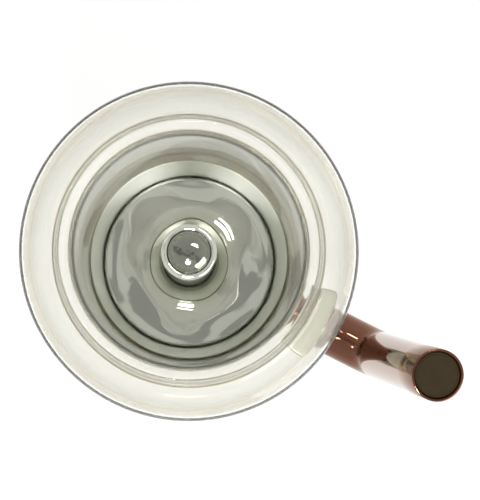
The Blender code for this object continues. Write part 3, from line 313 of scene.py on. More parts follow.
def moulded(name, colour, roughness=0.5):
    """A moulded plastic with a fine spark-eroded grain."""
    made = Shader(name, colour, roughness)
    lighter = [channel * 1.12 for channel in colour]
    darker = [channel * 0.88 for channel in colour]
    made.vary_colour(made.noise(200, 3), darker, lighter)
    made.vary_roughness(made.noise(900, 3), roughness - 0.06, roughness + 0.06)
    made.bump(made.noise(3500, 2), 0.02 * MM)
    return made.material


def soft_rubber():
    """Matt black rubber."""
    made = Shader("foot_rubber", (0.035, 0.035, 0.035), 0.8)
    made.vary_colour(made.noise(300, 3), (0.028, 0.028, 0.028), (0.045, 0.045, 0.044))
    made.bump(made.noise(1500, 3), 0.03 * MM)
    return made.material


def silicone():
    """Translucent olive-brown silicone."""
    sockets = {"Subsurface_Weight": 0.2, "Subsurface_Scale": 2 * MM}
    made = Shader("silicone", (0.56, 0.47, 0.25), 0.45, 0.0, **sockets)
    made.vary_colour(made.noise(200, 2), (0.53, 0.44, 0.23), (0.59, 0.50, 0.27))
    made.vary_roughness(made.noise(400, 2), 0.40, 0.52)
    return made.material


def simple_metal(name, colour, roughness):
    """A plain metal for the pieces inside."""
    made = Shader(name, colour, roughness, 1.0)
    made.vary_roughness(made.noise(500, 3), roughness * 0.8, roughness * 1.25)
    made.vary_colour(made.noise(150, 3), [c * 0.9 for c in colour], [c * 1.08 for c in colour])
    return made.material


MATERIALS = {
    "polished_steel": polished_steel(),
    "pan_steel": pan_steel(),
    "knob_steel_painted_shade": knob_steel_painted_shade(),
    "brushed_steel": brushed_steel(),
    "bracket_steel": bracket_steel(),
    "copper": copper(),
    "bronze": bronze(),
    "glass": glass(),
    "dark_plastic": dark_plug(),
    "black_plastic": moulded("black_plastic", (0.022, 0.022, 0.021)),
    "grey_plastic": moulded("grey_plastic", (0.26, 0.27, 0.25)),
    "foot_rubber": soft_rubber(),
    "silicone": silicone(),
    "magnet": simple_metal("magnet", (0.42, 0.42, 0.43), 0.25),
    "winding": simple_metal("winding", (0.45, 0.17, 0.06), 0.35),
    "circuit_board": moulded("circuit_board", (0.015, 0.12, 0.05), 0.4),
    "mica": moulded("mica", (0.50, 0.42, 0.30), 0.6),
    "brass": simple_metal("brass", (0.62, 0.43, 0.16), 0.3),
}
SLOT_OF_NODE = {part["node"]: part["material_slot"] for part in frame["record"]["subparts"]}
BODY_OF_NODE = {
    node: body for body, held in frame["record"]["behaviour"]["bodies"].items() for node in held
}


def dress_frame():
    """Gives every CAD node the procedural material of its slot."""
    for name, node in nodes.items():
        node.data.materials.clear()
        node.data.materials.append(MATERIALS[SLOT_OF_NODE[name]])


# Mesh helpers ------------------------------------------------------------------------------------
def piece(name, built, *replaced, look=None, sharp=35):
    """Makes a visible piece of a bmesh. It stands for CAD nodes and takes their body and slot."""
    mesh = bpy.data.meshes.new(name)
    bmesh.ops.recalc_face_normals(built, faces=built.faces)
    built.to_mesh(mesh)
    built.free()
    made = bpy.data.objects.new(name, mesh)
    scene.collection.objects.link(made)
    slot = SLOT_OF_NODE[replaced[0]]
    mesh.materials.append(MATERIALS[look or slot])
    mesh.shade_smooth()
    mesh.set_sharp_from_angle(angle=radians(sharp))
    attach(made, BODY_OF_NODE[replaced[0]])
    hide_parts(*replaced)
    return made


def lathe(profile, segments=ROUND):
    """Turns (radius, height) points about Z. A profile with its ends off the axis is closed on itself."""
    built = bmesh.new()
    on_axis = abs(profile[0][0]) < 1e-9 and abs(profile[-1][0]) < 1e-9
    rings = []
    for radius, height in profile:
        if radius < 1e-9:
            rings.append([built.verts.new((0, 0, height))])
            continue
        angles = [2 * pi * i / segments for i in range(segments)]
        rings.append([built.verts.new((radius * cos(a), radius * sin(a), height)) for a in angles])
    pairs = list(zip(rings, rings[1:]))
    if not on_axis:
        pairs.append((rings[-1], rings[0]))
    for upper, lower in pairs:
        for i in range(segments):
            j = (i + 1) % segments
            corners = [upper[i % len(upper)], upper[j % len(upper)]]
            corners += [lower[j % len(lower)], lower[i % len(lower)]]
            built.faces.new(list(dict.fromkeys(corners)))
    return built


def filleted(points, steps=5):
    """An outline with its corners rounded. Each point is (r, z) or (r, z, fillet radius)."""
    made = []
    count = len(points)
    for i, point in enumerate(points):
        r, z = point[:2]
        fillet = point[2] if len(point) > 2 else 0
        if not fillet:
            made.append((r, z))
            continue
        corner = Vector((r, z))
        before = (Vector(points[i - 1][:2]) - corner).normalized()
        after = (Vector(points[(i + 1) % count][:2]) - corner).normalized()
        angle = before.angle(after)
        reach = fillet / max(1e-6, (sin(angle / 2) / cos(angle / 2)))
        start = corner + before * reach
        end = corner + after * reach
        centre = corner + (before + after).normalized() * fillet / sin(angle / 2)
        first = start - centre
        turn = first.angle_signed(end - centre)
        for k in range(steps + 1):
            a = -turn * k / steps
            spun_r = first.x * cos(a) - first.y * sin(a)
            spun_z = first.x * sin(a) + first.y * cos(a)
            made.append(tuple(centre + Vector((spun_r, spun_z))))
    return made


def b_spline(points, steps=8):
    """A uniform cubic B-spline that starts and ends at the first and last of its control points."""
    points = [Vector(p) for p in points]
    held = [2 * points[0] - points[1], *points, 2 * points[-1] - points[-2]]
    made = []
    for a, b, c, d in zip(held, held[1:], held[2:], held[3:]):
        for i in range(steps):
            t = i / steps
            rising = -3 * t**3 + 3 * t**2 + 3 * t + 1
            falling = 3 * t**3 - 6 * t**2 + 4
            weights = ((1 - t) ** 3, falling, rising, t**3)
            weighed = (w * p for w, p in zip(weights, (a, b, c, d)))
            made.append(tuple(sum(weighed, Vector((0, 0))) / 6))
    made.append(tuple(points[-1]))
    return made


def offset(points, distance):
    """The profile moved square to its own run, towards the axis where it runs down."""
    made = []
    for i, (r, z) in enumerate(points):
        before = points[max(i - 1, 0)]
        after = points[min(i + 1, len(points) - 1)]
        run_r, run_z = after[0] - before[0], after[1] - before[1]
        size = hypot(run_r, run_z)
        made.append((r + distance * run_z / size, z - distance * run_r / size))
    return made


def skin(built, rings, closed):
    """Faces between neighbouring rings. The last joins the first if closed, or else both are capped."""
    following = [*rings[1:], rings[0]] if closed else rings[1:]
    for near, far in zip(rings, following):
        for i in range(len(near)):
            j = (i + 1) % len(near)
            built.faces.new((near[i], near[j], far[j], far[i]))
    if not closed:
        built.faces.new(rings[0])
        built.faces.new(rings[-1][::-1])


def wire_ring(built, centre, radius, across, along, sides):
    """One ring of points round a wire, in the plane of two square directions."""
    angles = [2 * pi * i / sides for i in range(sides)]
    return [built.verts.new(centre + radius * (cos(a) * across + sin(a) * along)) for a in angles]


def swept_tube(path, radii, segments=96):
    """A closed skin of rings at right angles to a path of (point, tangent), with a radius for each."""
    built = bmesh.new()
    rings = []
    for (point, tangent), radius in zip(path, radii):
        side = Vector((0, 1, 0))
        up = tangent.cross(side).normalized()
        rings.append(wire_ring(built, point, radius, side, up, segments))
    skin(built, rings, closed=True)
    return built


def transformed(built, matrix):
    """The same bmesh, moved by a matrix."""
    bmesh.ops.transform(built, matrix=matrix, verts=built.verts)
    return built


# Jug ---------------------------------------------------------------------------------------------
def outer_wall():
    """The outer wall's outside, from under the lip's bead down to its foot."""
    reach = GLASS_RADIUS - LIP_RADIUS
    widest = LIP_TOP - SHOULDER_DEPTH
    drop = widest - OUTER_FOOT
    spread = GLASS_RADIUS - BASE_RADIUS
    control = [
        (LIP_RADIUS, LIP_TOP - 1.1 * MM),
        (LIP_RADIUS, LIP_TOP - 2.6 * MM),
        (LIP_RADIUS + 0.10 * reach, LIP_TOP - 4.9 * MM),
        (LIP_RADIUS + 0.62 * reach, LIP_TOP - 6.3 * MM),
        (LIP_RADIUS + 1.00 * reach, LIP_TOP - 8.6 * MM),
        (GLASS_RADIUS + 0.1 * MM, widest - 1.0 * MM),
        (GLASS_RADIUS - 0.01 * spread, widest - 0.16 * drop),
        (GLASS_RADIUS - 0.10 * spread, widest - 0.38 * drop),
        (GLASS_RADIUS - 0.32 * spread, widest - 0.62 * drop),
        (GLASS_RADIUS - 0.66 * spread, widest - 0.84 * drop),
        (GLASS_RADIUS - 0.97 * spread, widest - 0.965 * drop),
        (BASE_RADIUS - 0.2 * MM, OUTER_FOOT),
    ]
    return b_spline(control, 8)


def inner_wall():
    """The inner wall's inside, from under the lip's bead down to its foot."""
    neck = LIP_TOP - SHOULDER_DEPTH
    narrowing = NECK_RADIUS - PAN_RIM_RADIUS
    drop = neck - INNER_FOOT
    bead_inside = LIP_RADIUS - LIP_WIDTH
    control = [
        (bead_inside, LIP_TOP - 1.1 * MM),
        (bead_inside - 0.1 * MM, LIP_TOP - 2.4 * MM),
        (NECK_RADIUS + 1.7 * MM, LIP_TOP - 4.6 * MM),
        (NECK_RADIUS + 0.35 * MM, LIP_TOP - 7.6 * MM),
        (NECK_RADIUS, neck),
        (NECK_RADIUS - 0.25 * narrowing, neck - 0.25 * drop),
        (NECK_RADIUS - 0.60 * narrowing, neck - 0.60 * drop),
        (PAN_RIM_RADIUS, INNER_FOOT),
    ]
    return b_spline(control, 8)


def make_glass():
    """The whole double-walled body as one closed skin: lip, outside, the hollow's two sides, inside."""
    outside = outer_wall()
    inside = inner_wall()
    bead_radius = LIP_WIDTH / 2
    bead_r, bead_z = LIP_RADIUS - bead_radius, LIP_TOP - bead_radius
    angles = [radians(180 - 15 * i) for i in range(1, 12)]
    bead = [(bead_r + bead_radius * cos(a), bead_z + bead_radius * sin(a)) for a in angles]
    web = LIP_TOP - WEB_DEPTH
    outer_back = [p for p in offset(outside, GLASS_WALL) if p[1] < web - 2.6 * MM]
    inner_back = [p for p in offset(inside, -INNER_WALL) if p[1] < web - 2.2 * MM]
    crotch = [((outer_back[0][0] + inner_back[0][0]) / 2, web - 1.2 * MM)]
    profile = bead + outside + outer_back[::-1] + crotch + inner_back + inside[::-1]
    piece("glass_body", lathe(profile), "outer_glass", "inner_glass", sharp=60)


def make_collar():
    """The ring that holds the glass, with a narrow floor round a wide opening."""
    inner = BASE_RADIUS - COLLAR_WALL
    floor = COLLAR_BOTTOM + COLLAR_FLOOR
    points = [
        (inner, COLLAR_TOP, 0.3 * MM),
        (BASE_RADIUS, COLLAR_TOP, 0.8 * MM),
        (BASE_RADIUS, COLLAR_BOTTOM, 0.8 * MM),
        (COLLAR_OPENING, COLLAR_BOTTOM, 0.5 * MM),
        (COLLAR_OPENING, floor, 0.5 * MM),
        (inner, floor, 0.5 * MM),
    ]
    piece("collar_ring", lathe(filleted(points)), "jug_collar")


def make_seals():
    """The soft rings under the feet of the two walls."""
    seals = (
        ("inner_seal", "inner_foot_seal", PAN_RIM_RADIUS + 0.5 * MM),
        ("outer_seal", "outer_foot_seal", BASE_RADIUS - COLLAR_WALL),
    )
    edge = 0.25 * MM
    for name, node, inner in seals:
        box_low, box_high = low(node), high(node)
        points = [(inner, box_high.z, edge), (box_high.x, box_high.z, edge)]
        points += [(box_high.x, box_low.z, edge), (inner, box_low.z, edge)]
        piece(name, lathe(filleted(points, 3)), node)


def make_pan():
    """The drawn pan: a rolled rim, a tapered side, a rounded corner, and a low boss for the spindle."""
    floor = PAN_BOTTOM + PAN_WALL
    flange = high("milk_pan").x
    inside = [
        (0, floor + PAN_BOSS_HEIGHT),
        (7.5 * MM, floor + PAN_BOSS_HEIGHT, 1.4 * MM),
        (8.3 * MM, floor, 1.0 * MM),
        (PAN_FLOOR_RADIUS, floor, 6 * MM),
        (PAN_RIM_RADIUS, PAN_RIM, 1.6 * MM),
        (flange, PAN_RIM, 0.3 * MM),
        (flange, PAN_RIM - PAN_WALL, 0.3 * MM),
        (PAN_RIM_RADIUS + PAN_WALL, PAN_RIM - PAN_WALL, 0.4 * MM),
        (PAN_FLOOR_RADIUS + PAN_WALL, PAN_BOTTOM, 7 * MM),
        (0, PAN_BOTTOM),
    ]
    piece("steel_pan", lathe(filleted(inside, 10)), "milk_pan", look="pan_steel", sharp=50)


# Whisk -------------------------------------------------------------------------------------------
def bell_outside():
    """The bell's outside: a straight column that sweeps out into an almost flat skirt."""
    rim = BELL_BOTTOM + BELL_WALL
    control = [
        (COLUMN_RADIUS, BELL_TOP - 1.2 * MM),
        (COLUMN_RADIUS, BELL_TOP - 20 * MM),
        (COLUMN_RADIUS, rim + 40 * MM),
        (COLUMN_RADIUS, rim + 18 * MM),
        (COLUMN_RADIUS, rim + 10 * MM),
        (COLUMN_RADIUS + 0.3 * MM, rim + 5.5 * MM),
        (COLUMN_RADIUS + 1.8 * MM, rim + 2.7 * MM),
        (COLUMN_RADIUS + 4.8 * MM, rim + 1.4 * MM),
        (COLUMN_RADIUS + 8.5 * MM, rim + 0.6 * MM),
        (COLUMN_RADIUS + 13 * MM, rim + 0.2 * MM),
        (COLUMN_RADIUS + 17.5 * MM, rim),
        (BELL_RADIUS - 1.6 * MM, rim),
        (BELL_RADIUS - 0.9 * MM, rim),
    ]
    return b_spline(control, 8)


def bell_crown(seat):
    """The bell's rounded top edge, from the knob's seat out to the column."""
    crown = [(seat, BELL_TOP - 0.4 * MM), (seat + 0.1 * MM, BELL_TOP - 0.1 * MM)]
    crown.append((seat + 0.4 * MM, BELL_TOP))
    edge_r, edge_z = COLUMN_RADIUS - BELL_CROWN_EDGE, BELL_TOP - BELL_CROWN_EDGE
    for i in range(7):
        a = radians(90 - 90 * i / 7)
        crown.append((edge_r + BELL_CROWN_EDGE * cos(a), edge_z + BELL_CROWN_EDGE * sin(a)))
    return crown


def make_bell():
    """The post and its skirt as one thin shell, open underneath."""
    outside = bell_outside()
    inside = offset(outside, BELL_WALL)
    seat = KNOB_RADIUS + KNOB_GAP
    crown = bell_crown(seat)
    rim_r = (outside[-1][0] + inside[-1][0]) / 2
    rim_z = (outside[-1][1] + inside[-1][1]) / 2
    reach = BELL_RADIUS - rim_r
    angles = [radians(90 - 180 * i / 12) for i in range(1, 12)]
    rim = [(rim_r + reach * cos(a), rim_z + BELL_WALL / 2 * sin(a)) for a in angles]
    underside = [(seat, BELL_TOP - 2.2 * MM)]
    profile = crown + outside + rim + inside[::-1] + underside
    built = lathe(profile)
    for vert in built.verts:
        wave_skirt(vert)
    piece("bell", built, "whisk_bell", sharp=50)


def wave_skirt(vert):
    """Lifts a point of the bell's skirt a little, as hand-polished thin steel is never quite true."""
    r, angle = hypot(vert.co.x, vert.co.y), atan2(vert.co.y, vert.co.x)
    share = max(0.0, min(1.0, (r - COLUMN_RADIUS - 1 * MM) / (12 * MM)))
    wave = 0.55 * sin(2 * angle + 0.6)
    wave += 0.30 * sin(3 * angle + 190 * r + 2.1)
    wave += 0.15 * sin(5 * angle - 260 * r)
    vert.co.z += share * SKIRT_WAVE * wave


def make_knob():
    """The domed knob on the post, with its stem inside the bell."""
    radius = KNOB_RADIUS + KNOB_GAP - 0.08 * MM
    base = BELL_TOP - 0.6 * MM
    rise = KNOB_TOP - base
    profile = []
    for i in range(17):
        a = pi / 2 * i / 16
        profile.append((radius * sin(a), base + rise * cos(a)))
    bottom = low("whisk_knob").z
    stem = KNOB_RADIUS - 0.4 * MM
    under_crown = BELL_TOP - 2.0 * MM
    profile += [(radius, under_crown), (stem, under_crown - 0.2 * MM), (stem, bottom), (0, bottom)]
    piece("knob", lathe(profile, 96), "whisk_knob", look="knob_steel_painted_shade")


def make_froth_spring():
    """The wire coil under the bell, a helix bent into a ring, with round wire."""
    height = (low("froth_coil").z + high("froth_coil").z) / 2
    count = 14 * FROTH_TURNS
    built = bmesh.new()
    rings = []
    for i in range(count):
        turn = 2 * pi * i / count
        twist = turn * FROTH_TURNS
        out = Vector((cos(turn), sin(turn), 0))
        across = out * cos(twist) + Vector((0, 0, sin(twist)))
        along = Vector((-sin(turn), cos(turn), 0))
        point = out * FROTH_RING_RADIUS + Vector((0, 0, height)) + FROTH_COIL_RADIUS * across
        rings.append(wire_ring(built, point, FROTH_WIRE, across, along, 6))
    skin(built, rings, closed=True)
    piece("froth_spring", built, "froth_coil", sharp=80)


# Handle ------------------------------------------------------------------------------------------
def handle_axis():
    """Points and tangents along the tube: the stub, the bend, and the leaning grip."""
    lean = atan2(GRIP_TOP.x - BEND_CENTRE_X, GRIP_TOP.z - STUB_HEIGHT)
    turn = pi / 2 - lean
    start_x = BEND_CENTRE_X - BEND_RADIUS * sin(turn / 2) / cos(turn / 2)
    centre = Vector((start_x, 0, STUB_HEIGHT + BEND_RADIUS))
    path = [(Vector((BRACKET_OUTER + 0.3 * MM, 0, STUB_HEIGHT)), Vector((1, 0, 0)))]
    for i in range(29):
        a = turn * i / 28
        path.append((centre + BEND_RADIUS * Vector((sin(a), 0, -cos(a))), Vector((cos(a), 0, sin(a)))))
    end = Vector((sin(lean), 0, cos(lean)))
    for share in (0.25, 0.5, 0.75, 1.0):
        path.append((path[29][0].lerp(GRIP_TOP, share), end))
    return path


def make_handle():
    """The tube as one skin, out along its outside and back along its bore, with rounded ends."""
    axis = handle_axis()
    edge = 0.25 * MM
    first, last = axis[0], axis[-1]
    inner = TUBE_RADIUS - TUBE_WALL

    def moved(station, along):
        """A (point, tangent) pair moved along its own tangent."""
        return (station[0] + station[1] * along, station[1])

    out = [moved(first, edge), *axis[1:-1], moved(last, -edge)]
    path = [moved(first, edge * 0.3), *out, moved(last, -0.3 * edge), last, last]
    radii = [TUBE_RADIUS - 0.7 * edge * 0.3, *[TUBE_RADIUS] * len(out), TUBE_RADIUS - 0.3 * edge]
    radii += [TUBE_RADIUS - edge, inner + edge]
    path += [moved(last, -edge), *axis[1:-1][::-1], moved(first, edge), first, first]
    radii += [inner, *[inner] * (len(axis) - 2), inner, inner + edge, TUBE_RADIUS - edge]
    piece("tube", swept_tube(path, radii), "handle_tube", sharp=45)


def make_end_cap():
    """The dark disc in the tube's end, with a fine step round its edge."""
    radius = TUBE_RADIUS - TUBE_WALL - 0.1 * MM
    points = [
        (0, 0),
        (radius - 0.9 * MM, 0),
        (radius - 0.75 * MM, -0.12 * MM),
        (radius - 0.25 * MM, -0.12 * MM),
        (radius, -0.35 * MM),
        (radius, -CAP_LENGTH),
        (0, -CAP_LENGTH),
    ]
    tangent = handle_axis()[-1][1]
    lean = atan2(tangent.x, tangent.z)
    place = Matrix.Translation(GRIP_TOP - tangent * CAP_RECESS) @ Matrix.Rotation(lean, 4, "Y")
    piece("end_disc", transformed(lathe(points, 96), place), "handle_end_cap")


def bracket_outline(inner):
    """The bracket's upright section, with a rounded lower outer corner."""
    bottom, top = STUB_HEIGHT - BRACKET_HALF_HEIGHT, STUB_HEIGHT + BRACKET_HALF_HEIGHT
    return filleted(
        [
            (inner, top, 0.4 * MM),
            (BRACKET_OUTER, top, 0.6 * MM),
            (BRACKET_OUTER, bottom, 3.0 * MM),
            (inner, bottom, 0.4 * MM),
        ]
    )


def bracket_stations():
    """Angles round the sector, and how far its outer face is cut back at each to round its corners."""
    half_width = BRACKET_SECTOR / 2
    rounding = BRACKET_CORNER / BRACKET_OUTER
    bends = [radians(90 * i / 6) for i in range(7)]
    start = [(rounding * (1 - cos(a)) - half_width, BRACKET_CORNER * (1 - sin(a))) for a in bends]
    middle = [half_width * i / 8 for i in range(-7, 8)]
    middle = [(a, 0) for a in middle if abs(a) < half_width - rounding]
    return start + middle + [(-a, cut) for a, cut in start[::-1]]


def add_spigot(built):
    """Adds to the bracket the round spigot that plugs into the tube."""
    radius = TUBE_RADIUS - TUBE_WALL - 0.3 * MM
    end = high("handle_bracket").x
    root = BRACKET_OUTER - 1.5 * MM
    edge = 0.4 * MM
    profile = [(0, end), (radius - edge, end), (radius, end - edge), (radius, root), (0, root)]
    place = Matrix.Translation((0, 0, STUB_HEIGHT)) @ Matrix.Rotation(pi / 2, 4, "Y")
    spigot = transformed(lathe(profile, SMALL_ROUND), place)
    carrier = bpy.data.meshes.new("spigot")
    spigot.to_mesh(carrier)
    spigot.free()
    built.from_mesh(carrier)
    bpy.data.meshes.remove(carrier)


def make_bracket():
    """The sector-shaped bracket between the collar and the tube, with its round spigot."""
    inner = BASE_RADIUS + 0.3 * MM
    depth = BRACKET_OUTER - inner
    outline = bracket_outline(inner)
    built = bmesh.new()
    rings = []
    for angle, cut in bracket_stations():
        ring = []
        for r, z in outline:
            r -= cut * (r - inner) / depth
            ring.append(built.verts.new((r * cos(angle), r * sin(angle), z)))
        rings.append(ring)
    skin(built, rings, closed=False)
    add_spigot(built)
    piece("bracket", built, "handle_bracket", look="bracket_steel")


# Base --------------------------------------------------------------------------------------------
def make_base_shell():
    """The base's cover, with holes for the button and the inlet cut through its side."""
    inner = BASE_RADIUS - SHELL_WALL
    points = [
        (SHELL_OPENING, BASE_TOP, 0.4 * MM),
        (BASE_RADIUS, BASE_TOP, 2.0 * MM),
        (BASE_RADIUS, 0, 0.5 * MM),
        (inner, 0, 0.3 * MM),
        (inner, BASE_TOP - SHELL_WALL, 1.0 * MM),
        (SHELL_OPENING, BASE_TOP - SHELL_WALL, 0.3 * MM),
    ]
    shell = piece("base_cover", lathe(filleted(points)), "base_shell")
    gap, depth = 0.2 * MM, 12 * MM
    hole = high("button_bezel").x + gap
    turned = (pi / 2, 0, 0)
    bpy.ops.mesh.primitive_cylinder_add(vertices=64, radius=hole, depth=depth, rotation=turned)
    button_hole = bpy.context.active_object
    button_hole.location = (0, -BASE_RADIUS, (low("button_bezel").z + high("button_bezel").z) / 2)
    box_low, box_high = low("power_inlet"), high("power_inlet")
    bpy.ops.mesh.primitive_cube_add(size=1)
    inlet_hole = bpy.context.active_object
    size = box_high - box_low
    inlet_hole.scale = (size.x + 2 * gap, depth, size.z + 2 * gap)
    inlet_hole.location = (0, BASE_RADIUS, (box_low.z + box_high.z) / 2)
    cut_and_apply(shell, [button_hole, inlet_hole])


def cut_and_apply(shell, cutters):
    """Cuts a piece with some helpers, keeps the result as its mesh, and removes the helpers."""
    for cutter in cutters:
        modifier = shell.modifiers.new("Cut", "BOOLEAN")
        modifier.object = cutter
        modifier.solver = "EXACT"
    graph = bpy.context.evaluated_depsgraph_get()
    mesh = bpy.data.meshes.new_from_object(shell.evaluated_get(graph))
    shell.modifiers.clear()
    old = shell.data
    shell.data = mesh
    bpy.data.meshes.remove(old)
    mesh.set_sharp_from_angle(angle=radians(35))
    for cutter in cutters:
        bpy.data.objects.remove(cutter)


def make_hot_plate():
    """The heated plate, with turned grooves in its top."""
    top = high("hot_plate").z
    flange = high("hot_plate").x
    bottom = low("hot_plate").z
    inner = HOT_PLATE_RADIUS - HOT_PLATE_WALL
    groove = top - 0.2 * MM
    profile = [(0, top)]
    for i in range(GROOVE_COUNT):
        at = GROOVE_FIRST + GROOVE_PITCH * i
        profile += [(at - 0.5 * MM, top), (at - 0.2 * MM, groove)]
        profile += [(at + 0.2 * MM, groove), (at + 0.5 * MM, top)]
    rest = [
        (HOT_PLATE_RADIUS, top, 1.0 * MM),
        (HOT_PLATE_RADIUS, bottom + HOT_PLATE_WALL, 0.4 * MM),
        (flange, bottom + HOT_PLATE_WALL, 0.3 * MM),
        (flange, bottom, 0.3 * MM),
        (inner, bottom, 0.3 * MM),
        (inner, top - HOT_PLATE_WALL, 0.8 * MM),
        (0, top - HOT_PLATE_WALL),
    ]
    piece("heated_plate", lathe(filleted(profile + rest)), "hot_plate")


def make_feet():
    """The four round feet, each with a shallow hollow underneath."""
    for i in range(1, 5):
        node = f"base_foot_{i}"
        box_low, box_high = low(node), high(node)
        radius = (box_high.x - box_low.x) / 2
        points = [
            (0, box_high.z),
            (radius, box_high.z, 0.3 * MM),
            (radius, box_low.z, 0.8 * MM),
            (radius * 0.62, box_low.z, 0.2 * MM),
            (radius * 0.58, box_low.z + 0.4 * MM, 0.2 * MM),
            (0, box_low.z + 0.4 * MM),
        ]
        middle = (box_low + box_high) / 2
        centre = Matrix.Translation((middle.x, middle.y, 0))
        piece(f"foot_{i}", transformed(lathe(filleted(points), SMALL_ROUND), centre), node)


def make_button():
    """The bezel ring, and the button with a shallow dish and a ring groove."""
    box_low, box_high = low("button_bezel"), high("button_bezel")
    height = (box_low.z + box_high.z) / 2
    outer = box_high.x
    inner = outer - BEZEL_WALL
    to_front = Matrix.Translation((0, 0, height)) @ Matrix.Rotation(pi / 2, 4, "X")
    points = [(inner, -box_low.y, 0.5 * MM), (outer, -box_low.y, 0.5 * MM)]
    points += [(outer, -box_high.y, 0.2 * MM), (inner, -box_high.y, 0.2 * MM)]
    piece("bezel", transformed(lathe(filleted(points), 96), to_front), "button_bezel")
    face = -low("power_button").y
    radius = high("power_button").x
    back = face - BUTTON_LENGTH
    stem_end = -high("power_button").y
    points = [
        (0, face - 0.35 * MM),
        (2.2 * MM, face - 0.3 * MM),
        (3.6 * MM, face - 0.1 * MM, 0.1 * MM),
        (3.75 * MM, face - 0.4 * MM),
        (4.15 * MM, face - 0.4 * MM),
        (4.3 * MM, face, 0.1 * MM),
        (radius, face, 0.9 * MM),
        (radius, back, 0.3 * MM),
        (STEM_RADIUS, back),
        (STEM_RADIUS, stem_end, 0.2 * MM),
        (0, stem_end),
    ]
    piece("button_cap", transformed(lathe(filleted(points), 96), to_front), "power_button")


def make_button_spring():
    """The coil behind the button, drawn at rest; in the real frother it closes up as the button goes in.
    """
    box_low, box_high = low("button_spring"), high("button_spring")
    height = (box_low.z + box_high.z) / 2
    reach = (box_high.x - box_low.x) / 2 - SPRING_WIRE
    front, back = box_low.y + SPRING_WIRE, box_high.y - SPRING_WIRE
    along = Vector((0, 1, 0))
    steps = 32 * SPRING_TURNS
    built = bmesh.new()
    rings = []
    for i in range(steps + 1):
        turn = 2 * pi * SPRING_TURNS * i / steps
        out = Vector((cos(turn), 0, sin(turn)))
        point = reach * out + Vector((0, front + (back - front) * i / steps, height))
        rings.append(wire_ring(built, point, SPRING_WIRE, out, along, 12))
    skin(built, rings, closed=False)
    made = piece("button_coil", built, "button_spring", sharp=60)
    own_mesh(made)


# Stage -------------------------------------------------------------------------------------------
def make_floor():
    """The plain white surface that the frother stands on, which glows evenly."""
    bpy.ops.mesh.primitive_plane_add(size=FLOOR_SIDE, location=(0, 0, TABLE))
    floor = bpy.context.active_object
    floor.name = "floor"
    made = Shader("floor", (0.10, 0.10, 0.10), 0.9, 0.0, Specular_IOR_Level=0.0)
    made.shader.inputs["Emission Color"].default_value = (1, 1, 0.995, 1)
    made.shader.inputs["Emission Strength"].default_value = FLOOR_GLOW
    floor.data.materials.append(made.material)


class Graph:
    """Helpers that add nodes to a shader tree and link their inputs."""

    def __init__(self, tree):
        self.nodes = tree.nodes
        self.link = tree.links.new

    def add(self, kind, **values):
        """A new node with some of its properties set."""
        node = self.nodes.new(kind)
        for name, value in values.items():
            setattr(node, name, value)
        return node

    def fade(self, value, ends, levels):
        """Takes a value from between two ends to between two levels, with a soft start and stop."""
        node = self.add("ShaderNodeMapRange", interpolation_type="SMOOTHSTEP")
        for socket, number in zip(list(node.inputs)[1:5], (*ends, *levels)):
            socket.default_value = number
        self.link(value, node.inputs["Value"])
        return node.outputs["Result"]

    def math(self, operation, first, second):
        """The output of one operation on two numbers or outputs."""
        node = self.add("ShaderNodeMath", operation=operation)
        for socket, value in zip(node.inputs, (first, second)):
            if isinstance(value, (int, float)):
                socket.default_value = value
            else:
                self.link(value, socket)
        return node.outputs["Value"]


def tent_strength(graph, direction, height):
    """The tent's brightness: full, but for a darker ragged band across its top."""
    noise = graph.add("ShaderNodeTexNoise")
    noise.inputs["Scale"].default_value = TENT_BAND_NOISE
    noise.inputs["Detail"].default_value = 3
    graph.link(direction, noise.inputs["Vector"])
    azimuth = radians(TENT_BAND_AZIMUTH)
    across = graph.add("ShaderNodeVectorMath", operation="DOT_PRODUCT")
    across.inputs[1].default_value = (-sin(azimuth), cos(azimuth), 0)
    graph.link(direction, across.inputs[0])
    centred = graph.math("SUBTRACT", noise.outputs["Fac"], 0.5)
    ragged = graph.math("MULTIPLY", centred, TENT_BAND_RAGGED)
    shifted = graph.math("ADD", across.outputs["Value"], TENT_BAND_SHIFT)
    distance = graph.math("ABSOLUTE", graph.math("ADD", shifted, ragged), 0)
    band = graph.fade(distance, TENT_BAND_EDGE, (TENT_BAND_LEVEL, 1.0))
    overhead = graph.fade(height, TENT_BAND_ENDS, (0.0, 1.0))
    loss = graph.math("MULTIPLY", graph.math("SUBTRACT", band, 1.0), overhead)
    return graph.math("ADD", loss, 1.0)


def tent_colour(graph, height):
    """The tent's colour: white at the sides, greyer overhead."""
    ramp = graph.add("ShaderNodeValToRGB")
    graph.link(height, ramp.inputs["Fac"])
    elements = ramp.color_ramp.elements
    elements[0].position, elements[1].position = 0.0, 1.0
    elements[0].color = (*TENT_SIDE, 1)
    elements[1].color = (*TENT_TOP, 1)
    elements.new(TENT_SIDE_END).color = (*TENT_SIDE, 1)
    return ramp.outputs["Color"]


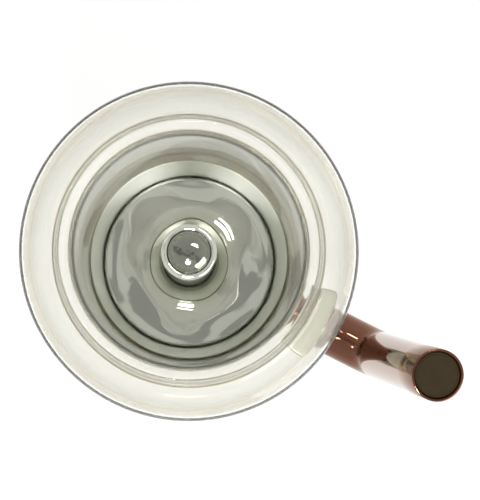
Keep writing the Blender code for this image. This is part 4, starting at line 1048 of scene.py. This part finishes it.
def make_world():
    """The light tent all round."""
    world = bpy.data.worlds.new("studio")
    scene.world = world
    world.use_nodes = True
    graph = Graph(world.node_tree)
    direction = graph.add("ShaderNodeTexCoord").outputs["Generated"]
    split = graph.add("ShaderNodeSeparateXYZ")
    graph.link(direction, split.inputs["Vector"])
    height = split.outputs["Z"]
    background = graph.nodes["Background"]
    graph.link(tent_colour(graph, height), background.inputs["Color"])
    graph.link(tent_strength(graph, direction, height), background.inputs["Strength"])


def softbox(name, azimuth, elevation, size, power):
    """A soft rectangular lamp that faces the jug's middle."""
    light = bpy.data.lights.new(name, "AREA")
    light.shape = "RECTANGLE"
    light.size, light.size_y = size
    light.energy = power
    made = bpy.data.objects.new(name, light)
    scene.collection.objects.link(made)
    a, e = radians(azimuth), radians(elevation)
    direction = Vector((cos(e) * cos(a), cos(e) * sin(a), sin(e)))
    target = Vector((0, 0, (PAN_BOTTOM + LIP_TOP) / 2))
    made.location = target + direction * SOFTBOX_DISTANCE
    made.rotation_euler = (-direction).to_track_quat("-Z", "Y").to_euler()


def make_lights():
    """The three softboxes."""
    for settings in SOFTBOXES:
        softbox(*settings)


def make_camera():
    """The camera almost straight above, turned so that the handle points right and a little down."""
    camera = bpy.data.cameras.new("camera")
    camera.lens = CAMERA_LENS
    camera.sensor_width = CAMERA_SENSOR
    made = bpy.data.objects.new("camera", camera)
    scene.collection.objects.link(made)
    made.location = CAMERA_PLACE
    up = Vector((cos(CAMERA_UP_AZIMUTH), sin(CAMERA_UP_AZIMUTH), 0))
    forward = (CAMERA_AIM - CAMERA_PLACE).normalized()
    right = forward.cross(up).normalized()
    up = right.cross(forward)
    made.rotation_euler = Matrix((right, up, -forward)).transposed().to_euler()
    scene.camera = made


def main():
    """Dresses the frame, makes the visible pieces, and sets up the studio."""
    scene.view_settings.view_transform = "Standard"
    dress_frame()
    make_glass()
    make_collar()
    make_seals()
    make_pan()
    make_bell()
    make_knob()
    make_froth_spring()
    make_handle()
    make_end_cap()
    make_bracket()
    make_base_shell()
    make_hot_plate()
    make_feet()
    make_button()
    make_button_spring()
    make_floor()
    make_world()
    make_lights()
    make_camera()


main()
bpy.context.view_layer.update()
